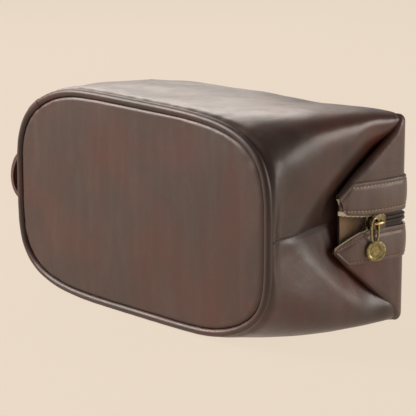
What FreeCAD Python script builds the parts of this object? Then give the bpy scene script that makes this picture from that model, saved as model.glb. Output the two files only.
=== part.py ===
"""Leather shaving kit bag, lying on its back wall, as a parametric FreeCAD document.

The bag is a tapered leather box on a piped, rounded base.  Its top closes along a zip whose two ends run
over the top's end edges and hang down as V-shaped flaps in front of the pinched end walls.

Frame, in millimetres: +X along the bag towards the end with the zip slider, +Y from the base to the zip,
+Z up from the back wall, which lies on z = 0.  The origin is the middle of that lying face.
"""

import FreeCAD
import Part
import Sketcher

import math
import os

# alias, millimetres or degrees, what it is
DIMENSIONS = [
    ("base_length", 271.0, "outside length over the piping"),
    ("base_width", 155.0, "outside width over the piping"),
    ("base_radius", 42.0, "corner radius of the base outline"),
    ("piping_size", 5.4, "diameter of the leather piping"),
    ("cord_size", 3.4, "diameter of the cord inside the piping"),
    ("leather", 2.0, "wall leather thickness"),
    ("skin", 1.8, "top and flap leather thickness"),
    ("facing_thick", 1.4, "zip facing thickness"),
    ("lining_thick", 0.8, "cotton lining thickness"),
    ("board_thick", 2.0, "base board thickness"),
    ("bag_height", 129.0, "base face to the outside of the top leather"),
    ("wall_start", 5.8, "where the walls begin, just above the piping"),
    ("neck_length", 232.0, "outside length of the walls at the top"),
    ("front_sink", 9.0, "how far the front wall, which lies uppermost, sinks towards the top"),
    ("top_length", 269.0, "over the outer faces of the flap leather"),
    ("fold_radius", 9.0, "outside radius of the folds along the top edges"),
    ("play", 0.4, "clearance between moving layers"),
    ("glue", 0.2, "gap between layers that are glued or sewn together"),
    ("skim", 0.1, "gap between layers that lie on each other"),
    ("zip_gap", 12.4, "width between the two facings"),
    ("facing_width", 22.0, "width of one facing strip"),
    ("facing_lap", 14.0, "how far a facing lies over the bag leather"),
    ("ear_half", 71.5, "half width of a flap at the fold"),
    ("tip_half", 19.0, "half width of a flap's blunt tip"),
    ("underlay_drop", 9.0, "how far below the fold the flap's inner layer begins"),
    ("underlay_inset", 1.0, "how far the flap's inner layer stays inside its outer one"),
    ("flap_pocket", 4.2, "space between a flap's two layers"),
    ("tape_thick", 0.6, "zip tape thickness"),
    ("tape_width", 12.4, "zip tape width on one side"),
    ("coil_high", 2.3, "zip coil thickness"),
    ("coil_wide", 1.7, "zip coil width on one side"),
    ("coil_gap", 1.5, "half the slot that the slider's wedge runs in"),
    ("slider_at", 100.0, "height of the slider's middle above the base face"),
    ("slider_long", 15.0, "slider length"),
    ("slider_wide", 11.0, "slider width"),
    ("slider_plate", 1.3, "slider plate thickness"),
    ("slider_room", 0.3, "clearance between the slider's plates and the zip"),
    ("wedge_at", 1.0, "slider's lower end to its wedge"),
    ("wedge_long", 2.4, "length of the slider's wedge"),
    ("wedge_wide", 2.2, "width of the slider's wedge"),
    ("stop_long", 1.2, "length of a zip end stop"),
    ("stop_wide", 2.8, "width of a zip end stop"),
    ("stop_thick", 1.3, "how far a zip end stop stands up"),
    ("slack", 0.2, "gap between an end stop and what it stops"),
    ("post_pitch", 8.0, "distance between the posts of the slider's bridge"),
    ("post_thick", 1.6, "post thickness along the zip"),
    ("bridge_wide", 2.4, "bridge width across the zip"),
    ("bridge_eye", 1.9, "clear height under the bridge"),
    ("bridge_bar", 1.2, "bridge bar thickness"),
    ("wire", 1.5, "pull loop wire width"),
    ("wire_thick", 1.2, "pull loop wire thickness"),
    ("loop_half", 3.75, "half the distance between the pull loop's legs"),
    ("pull_drop", 19.8, "bridge post to the middle of the medallion"),
    ("medal_radius", 7.2, "medallion radius"),
    ("medal_thick", 1.6, "medallion thickness"),
    ("medal_rim", 1.2, "medallion rim width"),
    ("medal_recess", 0.35, "depth of the medallion's face under its rim"),
    ("handle_at", 26.5, "height of the handle's middle above the base face"),
    ("handle_width", 24.0, "handle strap width"),
    ("handle_reach", 31.0, "how far the handle stands out"),
    ("handle_half", 21.0, "half the handle's span at mid strap"),
    ("strap_outer", 1.9, "handle outer leather thickness"),
    ("strap_inner", 1.5, "handle inner leather thickness"),
    ("foot_long", 19.0, "length of a sewn handle end"),
]

PLANES = {"xy": "XY_Plane", "xz": "XZ_Plane", "yz": "YZ_Plane"}


class Size:
    """A number with the sheet expression that gives it, so that one formula draws a sketch and binds it."""

    def __init__(self, value, text):
        self.value = float(value)
        self.text = text

    @staticmethod
    def of(other):
        return other if isinstance(other, Size) else Size(other, repr(float(other)))

    def __add__(self, other):
        other = Size.of(other)
        return Size(self.value + other.value, f"({self.text} + {other.text})")

    def __sub__(self, other):
        other = Size.of(other)
        return Size(self.value - other.value, f"({self.text} - {other.text})")

    def __mul__(self, other):
        other = Size.of(other)
        return Size(self.value * other.value, f"({self.text} * {other.text})")

    def __truediv__(self, other):
        other = Size.of(other)
        return Size(self.value / other.value, f"({self.text} / {other.text})")

    def __neg__(self):
        return self * -1.0


doc = FreeCAD.newDocument("ShavingKitBag")
sheet = doc.addObject("Spreadsheet::Sheet", "dims")
d = {}
for row, (alias, number, meaning) in enumerate(DIMENSIONS, start=1):
    sheet.set(f"A{row}", meaning)
    sheet.set(f"B{row}", str(number))
    sheet.setAlias(f"B{row}", alias)
    d[alias] = Size(number, f"dims.{alias}")
doc.recompute()

# Places that several pieces share.
y_base = -(d["bag_height"] + d["coil_high"]) / 2
y_top = y_base + d["bag_height"]
z_mid = d["base_width"] / 2
x_flap = d["top_length"] / 2
fold_y = y_top - d["fold_radius"]
fold_x = x_flap - d["fold_radius"]
flap_start = fold_y - d["play"]
slider_y = y_base + d["slider_at"]
stop_y = slider_y - d["slider_long"] / 2 - d["slack"] - d["stop_long"]
tip_y = fold_y - d["ear_half"] + d["tip_half"]
half_gap = d["zip_gap"] / 2
lap_edge = half_gap + d["facing_width"] - d["facing_lap"]
wall_height = flap_start - y_base - d["wall_start"]
taper = (d["base_length"] - d["neck_length"]) / 2 / wall_height
sink_rate = d["front_sink"] / wall_height
sinks = {"front": d["front_sink"], "back": Size.of(0.0)}
fold_outer = d["fold_radius"] - d["skin"] - d["lining_thick"] - d["play"]

parts = []


def bind(thing, prop, size):
    """Ties a property to the sheet."""
    thing.setExpression(prop, Size.of(size).text)


def keep(thing, node):
    """Marks an object as a finished sub-part called node."""
    thing.Label = node
    parts.append((node, thing))
    return thing


def new_body(name):
    return doc.addObject("PartDesign::Body", name)


def new_sketch(body, plane, name, offset=0.0):
    """A sketch on one of the body's own origin planes, moved along the plane's normal by offset."""
    sketch = body.newObject("Sketcher::SketchObject", name)
    role = PLANES[plane]
    support = [f for f in body.Origin.OriginFeatures if f.Role == role][0]
    sketch.AttachmentSupport = [(support, "")]
    sketch.MapMode = "FlatFace"
    bind(sketch, "AttachmentOffset.Base.z", offset)
    return sketch


def fix(sketch, kind, geometry, point, size):
    """Holds one coordinate of a sketch point at a sheet size from the origin."""
    if abs(size.value) < 1e-9:
        axis = -2 if kind == "DistanceX" else -1
        sketch.addConstraint(Sketcher.Constraint("PointOnObject", geometry, point, axis))
        return
    index = sketch.addConstraint(Sketcher.Constraint(kind, -1, 1, geometry, point, size.value))
    name = f"{kind}_{geometry}_{point}"
    sketch.renameConstraint(index, name)
    bind(sketch, f"Constraints.{name}", size)


def draw_polygon(sketch, corners):
    """A closed outline of straight edges whose corners are all held by the sheet."""
    corners = [(Size.of(a), Size.of(b)) for a, b in corners]
    first = sketch.GeometryCount
    count = len(corners)
    for i, (a, b) in enumerate(corners):
        after = corners[(i + 1) % count]
        start = FreeCAD.Vector(a.value, b.value, 0)
        end = FreeCAD.Vector(after[0].value, after[1].value, 0)
        sketch.addGeometry(Part.LineSegment(start, end))
    for i, (a, b) in enumerate(corners):
        line = first + i
        sketch.addConstraint(Sketcher.Constraint("Coincident", line, 2, first + (i + 1) % count, 1))
        fix(sketch, "DistanceX", line, 1, a)
        fix(sketch, "DistanceY", line, 1, b)


def draw_circle(sketch, across, up, radius):
    """A circle held by the sheet."""
    across, up, radius = Size.of(across), Size.of(up), Size.of(radius)
    centre = FreeCAD.Vector(across.value, up.value, 0)
    circle = sketch.addGeometry(Part.Circle(centre, FreeCAD.Vector(0, 0, 1), radius.value))
    fix(sketch, "DistanceX", circle, 3, across)
    fix(sketch, "DistanceY", circle, 3, up)
    index = sketch.addConstraint(Sketcher.Constraint("Radius", circle, radius.value))
    sketch.renameConstraint(index, f"radius_{circle}")
    bind(sketch, f"Constraints.radius_{circle}", radius)


def draw_rounded(sketch, half_length, low, high, radius):
    """A rounded rectangle, centred across and standing from low to high."""
    x, y0, y1, r = half_length.value, low.value, high.value, radius.value
    quarter = math.pi / 2
    spots = [(x - r, y0 + r, -1), (x - r, y1 - r, 0), (-x + r, y1 - r, 1), (-x + r, y0 + r, 2)]
    ends = [((-x + r, y0), (x - r, y0)), ((x, y0 + r), (x, y1 - r)),
            ((x - r, y1), (-x + r, y1)), ((-x, y1 - r), (-x, y0 + r))]
    for (ax, ay), (bx, by) in ends:
        sketch.addGeometry(Part.LineSegment(FreeCAD.Vector(ax, ay, 0), FreeCAD.Vector(bx, by, 0)))
    for cx, cy, turn in spots:
        circle = Part.Circle(FreeCAD.Vector(cx, cy, 0), FreeCAD.Vector(0, 0, 1), r)
        sketch.addGeometry(Part.ArcOfCircle(circle, turn * quarter, (turn + 1) * quarter))
    for i in range(4):
        arc = 4 + i
        sketch.addConstraint(Sketcher.Constraint("Tangent", i, 2, arc, 1))
        sketch.addConstraint(Sketcher.Constraint("Tangent", arc, 2, (i + 1) % 4, 1))
        sketch.addConstraint(Sketcher.Constraint("Vertical" if i % 2 else "Horizontal", i))
    for i in range(5, 8):
        sketch.addConstraint(Sketcher.Constraint("Equal", 4, i))
    fix(sketch, "DistanceY", 0, 1, low)
    fix(sketch, "DistanceX", 1, 1, half_length)
    fix(sketch, "DistanceY", 2, 1, high)
    fix(sketch, "DistanceX", 3, 1, -half_length)
    index = sketch.addConstraint(Sketcher.Constraint("Radius", 4, r))
    sketch.renameConstraint(index, "radius")
    bind(sketch, "Constraints.radius", radius)


def pad(body, sketch, depth, backwards=False):
    """A pad along the sketch's normal, or against it."""
    feature = body.newObject("PartDesign::Pad", sketch.Name + "Pad")
    feature.Profile = sketch
    bind(feature, "Length", depth)
    feature.Reversed = backwards
    sketch.Visibility = False
    return feature


def pocket(body, sketch, depth, backwards=False):
    """A pocket that has to remove something."""
    doc.recompute()
    before = body.Shape.Volume
    feature = body.newObject("PartDesign::Pocket", sketch.Name + "Pocket")
    feature.Profile = sketch
    bind(feature, "Length", depth)
    feature.Reversed = backwards
    doc.recompute()
    if body.Shape.Volume > before - 1e-3:
        raise RuntimeError(f"{sketch.Name} cuts nothing")
    return feature


def plate(node, plane, corners, low, high):
    """A flat piece: a polygon on a plane, as thick as low to high along that plane's axis."""
    body = new_body(node)
    low, high = Size.of(low), Size.of(high)
    # The xz plane's normal is -Y, so its offset changes sign and its pad runs backwards.
    flipped = plane == "xz"
    sketch = new_sketch(body, plane, node + "_outline", -low if flipped else low)
    draw_polygon(sketch, corners)
    pad(body, sketch, high - low, backwards=flipped)
    return keep(body, node)


def strip(first, second):
    """Corners of a rectangle from two opposite corners."""
    (a, b), (c, e) = first, second
    return [(a, b), (c, b), (c, e), (a, e)]


# ---- base: leather panel, board, lining and piping -------------------------------------------------------

def base_plate(node, inset, low, high):
    """A rounded plate inside the piping."""
    body = new_body(node)
    sketch = new_sketch(body, "xz", node + "_outline", -low)
    draw_rounded(sketch, d["base_length"] / 2 - inset, inset, d["base_width"] - inset,
                 d["base_radius"] - inset)
    pad(body, sketch, high - low, backwards=True)
    keep(body, node)


def piping_ring(name, radius):
    """A round bead that follows the base outline."""
    body = new_body(name)
    spine = new_sketch(body, "xz", name + "_path", -(y_base + d["piping_size"] / 2))
    inset = d["piping_size"] / 2 + d["play"] / 2
    draw_rounded(spine, d["base_length"] / 2 - inset, inset, d["base_width"] - inset,
                 d["base_radius"] - inset)
    section = new_sketch(body, "yz", name + "_section")
    draw_circle(section, y_base + d["piping_size"] / 2, inset, radius)
    doc.recompute()
    pipe = body.newObject("PartDesign::AdditivePipe", name + "_sweep")
    pipe.Profile = section
    pipe.Spine = (spine, [])
    doc.recompute()
    return body


def build_base():
    seam = d["piping_size"] + d["play"] * 1.5
    skin_top = y_base + d["leather"]
    board_low = skin_top + d["glue"]
    board_top = board_low + d["board_thick"]
    base_plate("base_panel", seam, y_base, skin_top)
    lining_low = board_top + d["skim"]
    base_plate("base_board", seam + d["leather"], board_low, board_top)
    base_plate("base_lining", seam + d["leather"] / 2, lining_low, lining_low + d["lining_thick"])
    cord = keep(piping_ring("piping_cord", d["cord_size"] / 2), "piping_cord")
    bead = piping_ring("piping_bead", d["piping_size"] / 2)
    cover = doc.addObject("Part::Cut", "piping_cover")
    cover.Base = bead
    cover.Tool = cord
    keep(cover, "base_piping")


# ---- walls: two leather panels joined at the middle of each end, and their linings ------------------------

def tapered_block(name, inset, spare):
    """A solid block with the walls' outside shape, moved in by inset and longer by spare at both ends."""
    start = y_base + d["wall_start"] - spare
    stop = fold_y - d["play"] + spare
    outline = new_body(name + "_outline")
    sketch = new_sketch(outline, "xz", name + "_outline_sketch", -start)
    draw_rounded(sketch, d["base_length"] / 2 - inset, inset, d["base_width"] - inset,
                 d["base_radius"] - inset)
    pad(outline, sketch, stop - start, backwards=True)

    wedge = new_body(name + "_wedge")
    sketch = new_sketch(wedge, "xy", name + "_wedge_sketch")
    wide = d["base_length"] / 2 - inset + taper * spare
    slim = d["neck_length"] / 2 - inset - taper * spare
    draw_polygon(sketch, [(-wide, start), (wide, start), (slim, stop), (-slim, stop)])
    pad(wedge, sketch, d["base_width"])

    slope = new_body(name + "_slope")
    sketch = new_sketch(slope, "yz", name + "_slope_sketch", -d["base_length"])
    high = d["base_width"] - inset + sink_rate * spare
    low = d["base_width"] - d["front_sink"] - inset - sink_rate * spare
    draw_polygon(sketch, [(start, 0.0), (stop, 0.0), (stop, low), (start, high)])
    pad(slope, sketch, d["base_length"] * 2)

    block = doc.addObject("Part::MultiCommon", name)
    block.Shapes = [outline, wedge, slope]
    return block


def build_walls():
    spare = d["piping_size"]
    reach = d["base_length"] / 2 + spare
    seam = d["skim"] / 2
    for layer, inset, thick in (("wall", 0.0, d["leather"]),
                                ("lining", d["leather"] + d["glue"], d["lining_thick"])):
        ring = doc.addObject("Part::Cut", layer + "_ring")
        ring.Base = tapered_block(layer + "_outside", Size.of(inset), Size.of(0.0))
        ring.Tool = tapered_block(layer + "_inside", Size.of(inset) + thick, spare)
        for side, low in (("front", z_mid + seam), ("back", -seam)):
            half = doc.addObject("Part::Box", f"{side}_{layer}_half")
            bind(half, "Length", reach * 2)
            bind(half, "Width", d["bag_height"])
            bind(half, "Height", z_mid)
            bind(half, "Placement.Base.x", -reach)
            bind(half, "Placement.Base.y", y_base)
            bind(half, "Placement.Base.z", low)
            piece = doc.addObject("Part::MultiCommon", f"{side}_{layer}")
            piece.Shapes = [ring, half]
            keep(piece, f"{side}_{layer}")


# ---- folds: where the leather turns from the walls into the top -------------------------------------------

def quarter_fold(node, length, base, turn):
    """A quarter tube of leather, nested inside the layers that swing about its axis."""
    tubes = []
    for label, radius in (("outside", fold_outer), ("inside", fold_outer - d["skin"])):
        tube = doc.addObject("Part::Cylinder", f"{node}_{label}")
        bind(tube, "Radius", radius)
        bind(tube, "Height", length)
        tube.Angle = 90
        tube.Placement.Rotation = turn
        for axis, size in zip("xyz", base):
            bind(tube, f"Placement.Base.{axis}", size)
        tubes.append(tube)
    ring = doc.addObject("Part::Cut", node + "_ring")
    ring.Base, ring.Tool = tubes
    keep(ring, node)


def build_folds():
    across = fold_x - d["leather"]
    along = d["fold_radius"] + d["play"]
    neck = d["neck_length"] / 2
    for end, near, far in (("right", neck - d["leather"], fold_x - d["play"]),
                           ("left", -fold_x + d["play"], d["leather"] - neck)):
        high = d["base_width"] - d["front_sink"] - along
        plate(f"{end}_end_gusset", "xz", strip((near, along), (far, high)), fold_y, fold_y + d["skin"])
    stand = FreeCAD.Rotation()
    lie = FreeCAD.Rotation(FreeCAD.Vector(0, 1, 0), FreeCAD.Vector(0, 0, 1), FreeCAD.Vector(1, 0, 0), "ZXY")
    lie_low = FreeCAD.Rotation(FreeCAD.Vector(0, 0, -1), FreeCAD.Vector(0, 1, 0), FreeCAD.Vector(1, 0, 0),
                               "ZXY")
    front_axis = d["base_width"] - d["front_sink"] - d["fold_radius"]
    quarter_fold("front_edge_fold", across * 2, (-across, fold_y, front_axis), lie)
    quarter_fold("back_edge_fold", across * 2, (-across, fold_y, d["fold_radius"]), lie_low)
    tall = d["base_width"] - d["front_sink"] - along * 2
    quarter_fold("right_edge_fold", tall, (fold_x, fold_y, along), stand)
    quarter_fold("left_edge_fold", tall, (-fold_x, fold_y, along),
                 FreeCAD.Rotation(FreeCAD.Vector(0, 0, 1), 90))


# ---- top: two halves that swing open about the long folds --------------------------------------------------

def build_top():
    end = fold_x - d["play"]
    seat = y_top - d["skim"]
    z_fold = d["base_width"] - d["fold_radius"] - d["play"] - z_mid
    bars = [
        ("top_facing", half_gap, half_gap + d["facing_width"], y_top, y_top + d["facing_thick"]),
        ("top_tape", d["coil_gap"], d["coil_gap"] + d["tape_width"],
         seat - d["tape_thick"], seat),
        ("top_coil", d["coil_gap"], d["coil_gap"] + d["coil_wide"], seat, seat + d["coil_high"]),
    ]
    under = y_top - d["skin"]
    for side, sign in (("front", 1.0), ("back", -1.0)):
        wide = z_fold - sinks[side]
        panels = [
            ("top_panel", lap_edge, wide, under, y_top),
            ("top_lining", lap_edge, wide, under - d["skim"] - d["lining_thick"], under - d["skim"]),
        ]
        for name, near, far, low, high in panels + bars:
            corners = strip((-end, z_mid + near * sign), (end, z_mid + far * sign))
            plate(f"{name}_{side}", "xz", corners, low, high)


# ---- flaps: the V-shaped ends of the top, hanging down in front of the end walls ---------------------------

def flap_plate(node, end, corners, low, high):
    """A plate on one flap, given by its distances from the bag's middle; end is 1 right and -1 left."""
    if end > 0:
        return plate(node, "yz", corners, low, high)
    return plate(node, "yz", corners, -high, -low)


def build_flap(name, end):
    edge = half_gap + d["facing_width"]
    seat = x_flap - d["skim"]
    coil_low = stop_y + d["stop_long"] * 2 + d["slack"]
    for side, sign in (("front", 1.0), ("back", -1.0)):
        def at(y, z, sign=sign):
            return (y, z_mid + Size.of(z) * sign)

        flap_plate(f"{name}_flap_panel_{side}", end,
                   [at(flap_start, lap_edge), at(flap_start, d["ear_half"] - sinks[side]),
                    at(tip_y, d["tip_half"]), at(tip_y, lap_edge)],
                   x_flap - d["skin"], x_flap)
        flap_plate(f"{name}_flap_facing_{side}", end,
                   [at(flap_start, half_gap), at(flap_start, edge), at(tip_y + edge - d["tip_half"], edge),
                    at(tip_y, d["tip_half"]), at(tip_y, half_gap)],
                   x_flap, x_flap + d["facing_thick"])
        flap_plate(f"{name}_flap_tape_{side}", end,
                   strip(at(stop_y, d["coil_gap"]), at(flap_start, d["coil_gap"] + d["tape_width"])),
                   seat - d["tape_thick"], seat)
        flap_plate(f"{name}_flap_coil_{side}", end,
                   strip(at(coil_low, d["coil_gap"]), at(flap_start, d["coil_gap"] + d["coil_wide"])),
                   seat, seat + d["coil_high"])
    under_top = flap_start - d["underlay_drop"]
    wide = d["ear_half"] - d["underlay_drop"] - d["underlay_inset"]
    slim = d["tip_half"] - d["underlay_inset"]
    inner = x_flap - d["skin"] - d["flap_pocket"]
    flap_plate(f"{name}_flap_underlay", end,
               [(under_top, z_mid - wide), (under_top, z_mid + wide - d["front_sink"]), (tip_y, z_mid + slim),
                (tip_y, z_mid - slim)],
               inner - d["skin"], inner)


def build_zip_ends():
    """A stop on each tape below the slider, and the bar across both tapes at the other end of the zip."""
    near = d["coil_gap"] + d["play"]
    far = near + d["stop_wide"]
    for side, sign in (("front", 1.0), ("back", -1.0)):
        plate(f"zip_top_stop_{side}", "yz",
              strip((stop_y, z_mid + near * sign), (stop_y + d["stop_long"], z_mid + far * sign)),
              x_flap, x_flap + d["stop_thick"])
    plate("zip_bottom_stop", "yz",
          strip((stop_y, z_mid - far), (stop_y + d["stop_long"] * 2, z_mid + far)),
          -x_flap - d["stop_thick"], -x_flap)


# ---- slider, its bridge, and the pull ---------------------------------------------------------------------

def build_slider():
    middle = d["slider_at"] + y_base
    half_long, half_wide = d["slider_long"] / 2, d["slider_wide"] / 2
    roof = x_flap - d["skim"] + d["coil_high"] + d["slider_room"]
    floor = x_flap - d["skim"] - d["tape_thick"] - d["slider_room"]
    shoulder = middle + half_long * 0.55
    nose = 0.62
    body = new_body("slider_body")

    def outline(shrink):
        wide = half_wide - shrink
        return [(middle - half_long, z_mid - wide), (shoulder, z_mid - wide),
                (middle + half_long, z_mid - wide * nose), (middle + half_long, z_mid + wide * nose),
                (shoulder, z_mid + wide), (middle - half_long, z_mid + wide)]

    sketch = new_sketch(body, "yz", "slider_roof", roof)
    draw_polygon(sketch, outline(0.0))
    pad(body, sketch, d["slider_plate"])
    wedge = new_sketch(body, "yz", "slider_wedge", roof)
    wedge_low = middle - half_long + d["wedge_at"]
    draw_polygon(wedge, strip((wedge_low, z_mid - d["wedge_wide"] / 2),
                              (wedge_low + d["wedge_long"], z_mid + d["wedge_wide"] / 2)))
    pad(body, wedge, roof - floor + d["slack"], backwards=True)
    sketch = new_sketch(body, "yz", "slider_floor", floor - d["slider_plate"])
    draw_polygon(sketch, outline(d["play"]))
    pad(body, sketch, d["slider_plate"])
    for sign in (1.0, -1.0):
        rail = new_sketch(body, "yz", "slider_rail_" + ("high" if sign > 0 else "low"), roof)
        inner = d["coil_gap"] + d["coil_wide"] + d["play"]
        draw_polygon(rail, strip((middle - half_long, z_mid + inner * sign),
                                 (shoulder, z_mid + half_wide * sign)))
        pad(body, rail, d["slider_plate"], backwards=True)
    keep(body, "slider_body")

    top = roof + d["slider_plate"]
    under = top + d["bridge_eye"]
    over = under + d["bridge_bar"]
    near, far = middle - d["post_pitch"] / 2, middle + d["post_pitch"] / 2
    post = d["post_thick"] / 2
    corners = [(top, near - post), (over, near - post), (over, far + post), (top, far + post),
               (top, far - post), (under, far - post), (under, near + post), (top, near + post)]
    plate("slider_bridge", "xy", corners, z_mid - d["bridge_wide"] / 2, z_mid + d["bridge_wide"] / 2)

    sit = top + (d["bridge_eye"] - d["wire_thick"]) / 2
    hang_y = near
    rim_share = 0.86
    ring_low = -d["pull_drop"] + d["medal_radius"] * rim_share
    body = new_body("pull_loop")
    sketch = new_sketch(body, "yz", "pull_loop_disc", sit)
    draw_circle(sketch, hang_y, z_mid, d["loop_half"] + d["wire"] / 2)
    pad(body, sketch, d["wire_thick"])
    sketch = new_sketch(body, "yz", "pull_loop_legs", sit)
    out = d["loop_half"] + d["wire"] / 2
    draw_polygon(sketch, strip((hang_y - out, z_mid), (hang_y + out, z_mid + ring_low)))
    pad(body, sketch, d["wire_thick"])
    inside = d["loop_half"] - d["wire"] / 2
    sketch = new_sketch(body, "yz", "pull_loop_eye", sit)
    draw_circle(sketch, hang_y, z_mid, inside)
    pocket(body, sketch, d["wire_thick"], backwards=True)
    sketch = new_sketch(body, "yz", "pull_loop_slot", sit)
    draw_polygon(sketch, strip((hang_y - inside, z_mid), (hang_y + inside, z_mid + ring_low)))
    pocket(body, sketch, d["wire_thick"], backwards=True)
    bar = new_sketch(body, "yz", "pull_loop_bar", sit)
    draw_polygon(bar, strip((hang_y - out, z_mid + ring_low + d["wire_thick"]),
                            (hang_y + out, z_mid + ring_low)))
    pad(body, bar, d["wire_thick"])
    keep(body, "pull_loop")

    disc = doc.addObject("Part::Cylinder", "medal_blank")
    recess = doc.addObject("Part::Cylinder", "medal_recess")
    trim = doc.addObject("Part::Box", "medal_trim")
    facing_x = FreeCAD.Rotation(FreeCAD.Vector(0, 1, 0), 90)
    disc_low = sit - (d["medal_thick"] - d["wire_thick"]) / 2
    for tool, radius, height, low in (
            (disc, d["medal_radius"], d["medal_thick"], disc_low),
            (recess, d["medal_radius"] - d["medal_rim"], d["medal_recess"] + d["medal_thick"],
             disc_low + d["medal_thick"] - d["medal_recess"])):
        tool.Placement.Rotation = facing_x
        bind(tool, "Radius", radius)
        bind(tool, "Height", height)
        bind(tool, "Placement.Base.x", low)
        bind(tool, "Placement.Base.y", hang_y)
        bind(tool, "Placement.Base.z", z_mid - d["pull_drop"])
    bind(trim, "Length", d["medal_thick"] * 2)
    bind(trim, "Width", (out + d["slack"]) * 2)
    bind(trim, "Height", d["medal_radius"])
    bind(trim, "Placement.Base.x", disc_low - d["medal_thick"] / 2)
    bind(trim, "Placement.Base.y", hang_y - out - d["slack"])
    bind(trim, "Placement.Base.z", z_mid + ring_low)
    faced = doc.addObject("Part::Cut", "medal_faced")
    faced.Base, faced.Tool = disc, recess
    medal = doc.addObject("Part::Cut", "medal")
    medal.Base, medal.Tool = faced, trim
    keep(medal, "pull_medallion")


# ---- handle: a two-layer strap loop sewn to the left end wall ----------------------------------------------

def strap_layer(node, inner, outer):
    """One layer of the strap; inner and outer are its distances from the loop's inside face."""
    body = new_body(node)
    width = d["handle_width"]
    inside = d["handle_half"] - (d["strap_outer"] + d["strap_inner"]) / 2
    centre = -(d["handle_reach"] - d["handle_half"])
    depth = -Size.of(inner)
    big, small = inside + outer, inside + inner

    def side_sketch(label):
        return new_sketch(body, "xz", f"{node}_{label}", -width / 2)

    for label, radius, shape in (("crown", big, pad), ("crown_hollow", small, pocket)):
        sketch = side_sketch(label)
        draw_circle(sketch, centre, 0.0, radius)
        if shape is pad:
            pad(body, sketch, width)
        else:
            pocket(body, sketch, width, backwards=True)
    sketch = side_sketch("below")
    draw_polygon(sketch, strip((centre, -big), (centre + big, big)))
    pocket(body, sketch, width, backwards=True)
    for side, sign in (("high", 1.0), ("low", -1.0)):
        sketch = side_sketch("leg_" + side)
        near, far = small * sign, big * sign
        toe = (small + d["foot_long"]) * sign
        draw_polygon(sketch, [(centre, near), (depth, near), (depth, toe), (-Size.of(outer), toe),
                              (-Size.of(outer), far), (centre, far)])
        pad(body, sketch, width)
    return body


def build_handle():
    wall_x = d["base_length"] / 2 - taper * (d["handle_at"] - d["wall_start"])
    layers = (("handle_lining", 0.0, d["strap_inner"] - d["skim"] / 2),
              ("handle_strap", d["strap_inner"] + d["skim"] / 2, d["strap_outer"] + d["strap_inner"]))
    for node, inner, outer in layers:
        body = strap_layer(node, inner, outer)
        body.Placement.Rotation = FreeCAD.Rotation(FreeCAD.Vector(0, 0, 1), 1)
        body.setExpression("Placement.Rotation.Angle", f"-atan({taper.text})")
        bind(body, "Placement.Base.x", -wall_x - d["skim"])
        bind(body, "Placement.Base.y", y_base + d["handle_at"])
        bind(body, "Placement.Base.z", z_mid)
        keep(body, node)


def check_and_export():
    """Stops on any failed feature or bad solid, then writes one STEP file for each sub-part."""
    doc.recompute()
    for thing in doc.Objects:
        if "Invalid" in thing.State or "Error" in thing.State:
            raise RuntimeError(f"{thing.Label} failed: {thing.State}")
    os.makedirs("parts", exist_ok=True)
    for old in os.listdir("parts"):
        os.remove(os.path.join("parts", old))
    for node, thing in parts:
        shape = thing.Shape
        if shape.isNull() or not shape.isValid() or not shape.Solids:
            raise RuntimeError(f"{node} has no valid solid")
        shape.exportStep(os.path.join("parts", node + ".step"))
        box = shape.BoundBox
        print(f"{node:28s} {len(shape.Solids)} solid, {shape.Volume:9.1f} mm3,"
              f" x {box.XMin:7.1f} {box.XMax:7.1f} y {box.YMin:6.1f} {box.YMax:6.1f}"
              f" z {box.ZMin:6.1f} {box.ZMax:6.1f}")


build_base()
build_walls()
build_folds()
build_top()
build_flap("right", 1)
build_flap("left", -1)
build_zip_ends()
build_slider()
build_handle()
check_and_export()
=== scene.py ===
"""Leather shaving kit bag: its soft shell, zip, pull, handle and finishes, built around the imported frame."""

import logging
import math
from dataclasses import dataclass, field
from enum import Enum
from typing import Any, Callable, Optional, Sequence

import bmesh
import bpy
import numpy as np
from mathutils import Matrix, Vector, noise
from mathutils.bvhtree import BVHTree


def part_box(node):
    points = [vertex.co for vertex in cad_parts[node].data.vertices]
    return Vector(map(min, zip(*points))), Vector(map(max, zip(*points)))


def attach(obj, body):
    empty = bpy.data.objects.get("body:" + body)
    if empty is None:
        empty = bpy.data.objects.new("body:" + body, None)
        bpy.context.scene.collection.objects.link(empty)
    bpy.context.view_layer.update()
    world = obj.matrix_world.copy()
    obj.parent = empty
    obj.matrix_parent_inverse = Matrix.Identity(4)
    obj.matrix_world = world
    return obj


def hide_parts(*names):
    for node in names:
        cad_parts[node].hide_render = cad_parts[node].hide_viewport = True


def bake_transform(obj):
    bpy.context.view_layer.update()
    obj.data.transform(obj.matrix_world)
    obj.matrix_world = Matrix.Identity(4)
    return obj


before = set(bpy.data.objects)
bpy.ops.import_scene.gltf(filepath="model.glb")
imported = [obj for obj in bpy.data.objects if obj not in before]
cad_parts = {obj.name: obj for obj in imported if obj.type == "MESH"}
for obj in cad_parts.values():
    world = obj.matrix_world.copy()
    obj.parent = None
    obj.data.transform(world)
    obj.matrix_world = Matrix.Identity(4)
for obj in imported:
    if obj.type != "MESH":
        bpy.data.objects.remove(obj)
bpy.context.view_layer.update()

log = logging.getLogger("shaving_kit")
MM = 0.001
FLAP_LEAD = 13.5 * MM  # the stretch of flat top that each flap's leather takes in
Points = np.ndarray
Socket = Any


class Side(Enum):
    """Which of the two leather panels a piece belongs to; the front one lies uppermost."""

    FRONT = 1
    BACK = -1

    @property
    def word(self) -> str:
        """The side's name as it stands in node and piece names."""
        return self.name.lower()


class End(Enum):
    """Which end of the bag a piece is at."""

    RIGHT = 1
    LEFT = -1

    @property
    def word(self) -> str:
        """The end's name as it stands in node and piece names."""
        return self.name.lower()


# ---- shared places and mesh tools ------------------------------------------------------------------------


def ease(value: Any) -> Any:
    """Turns 0..1 into a smooth step, and holds values outside it at the ends."""
    held = np.clip(value, 0.0, 1.0)
    return held * held * (3.0 - 2.0 * held)


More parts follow.
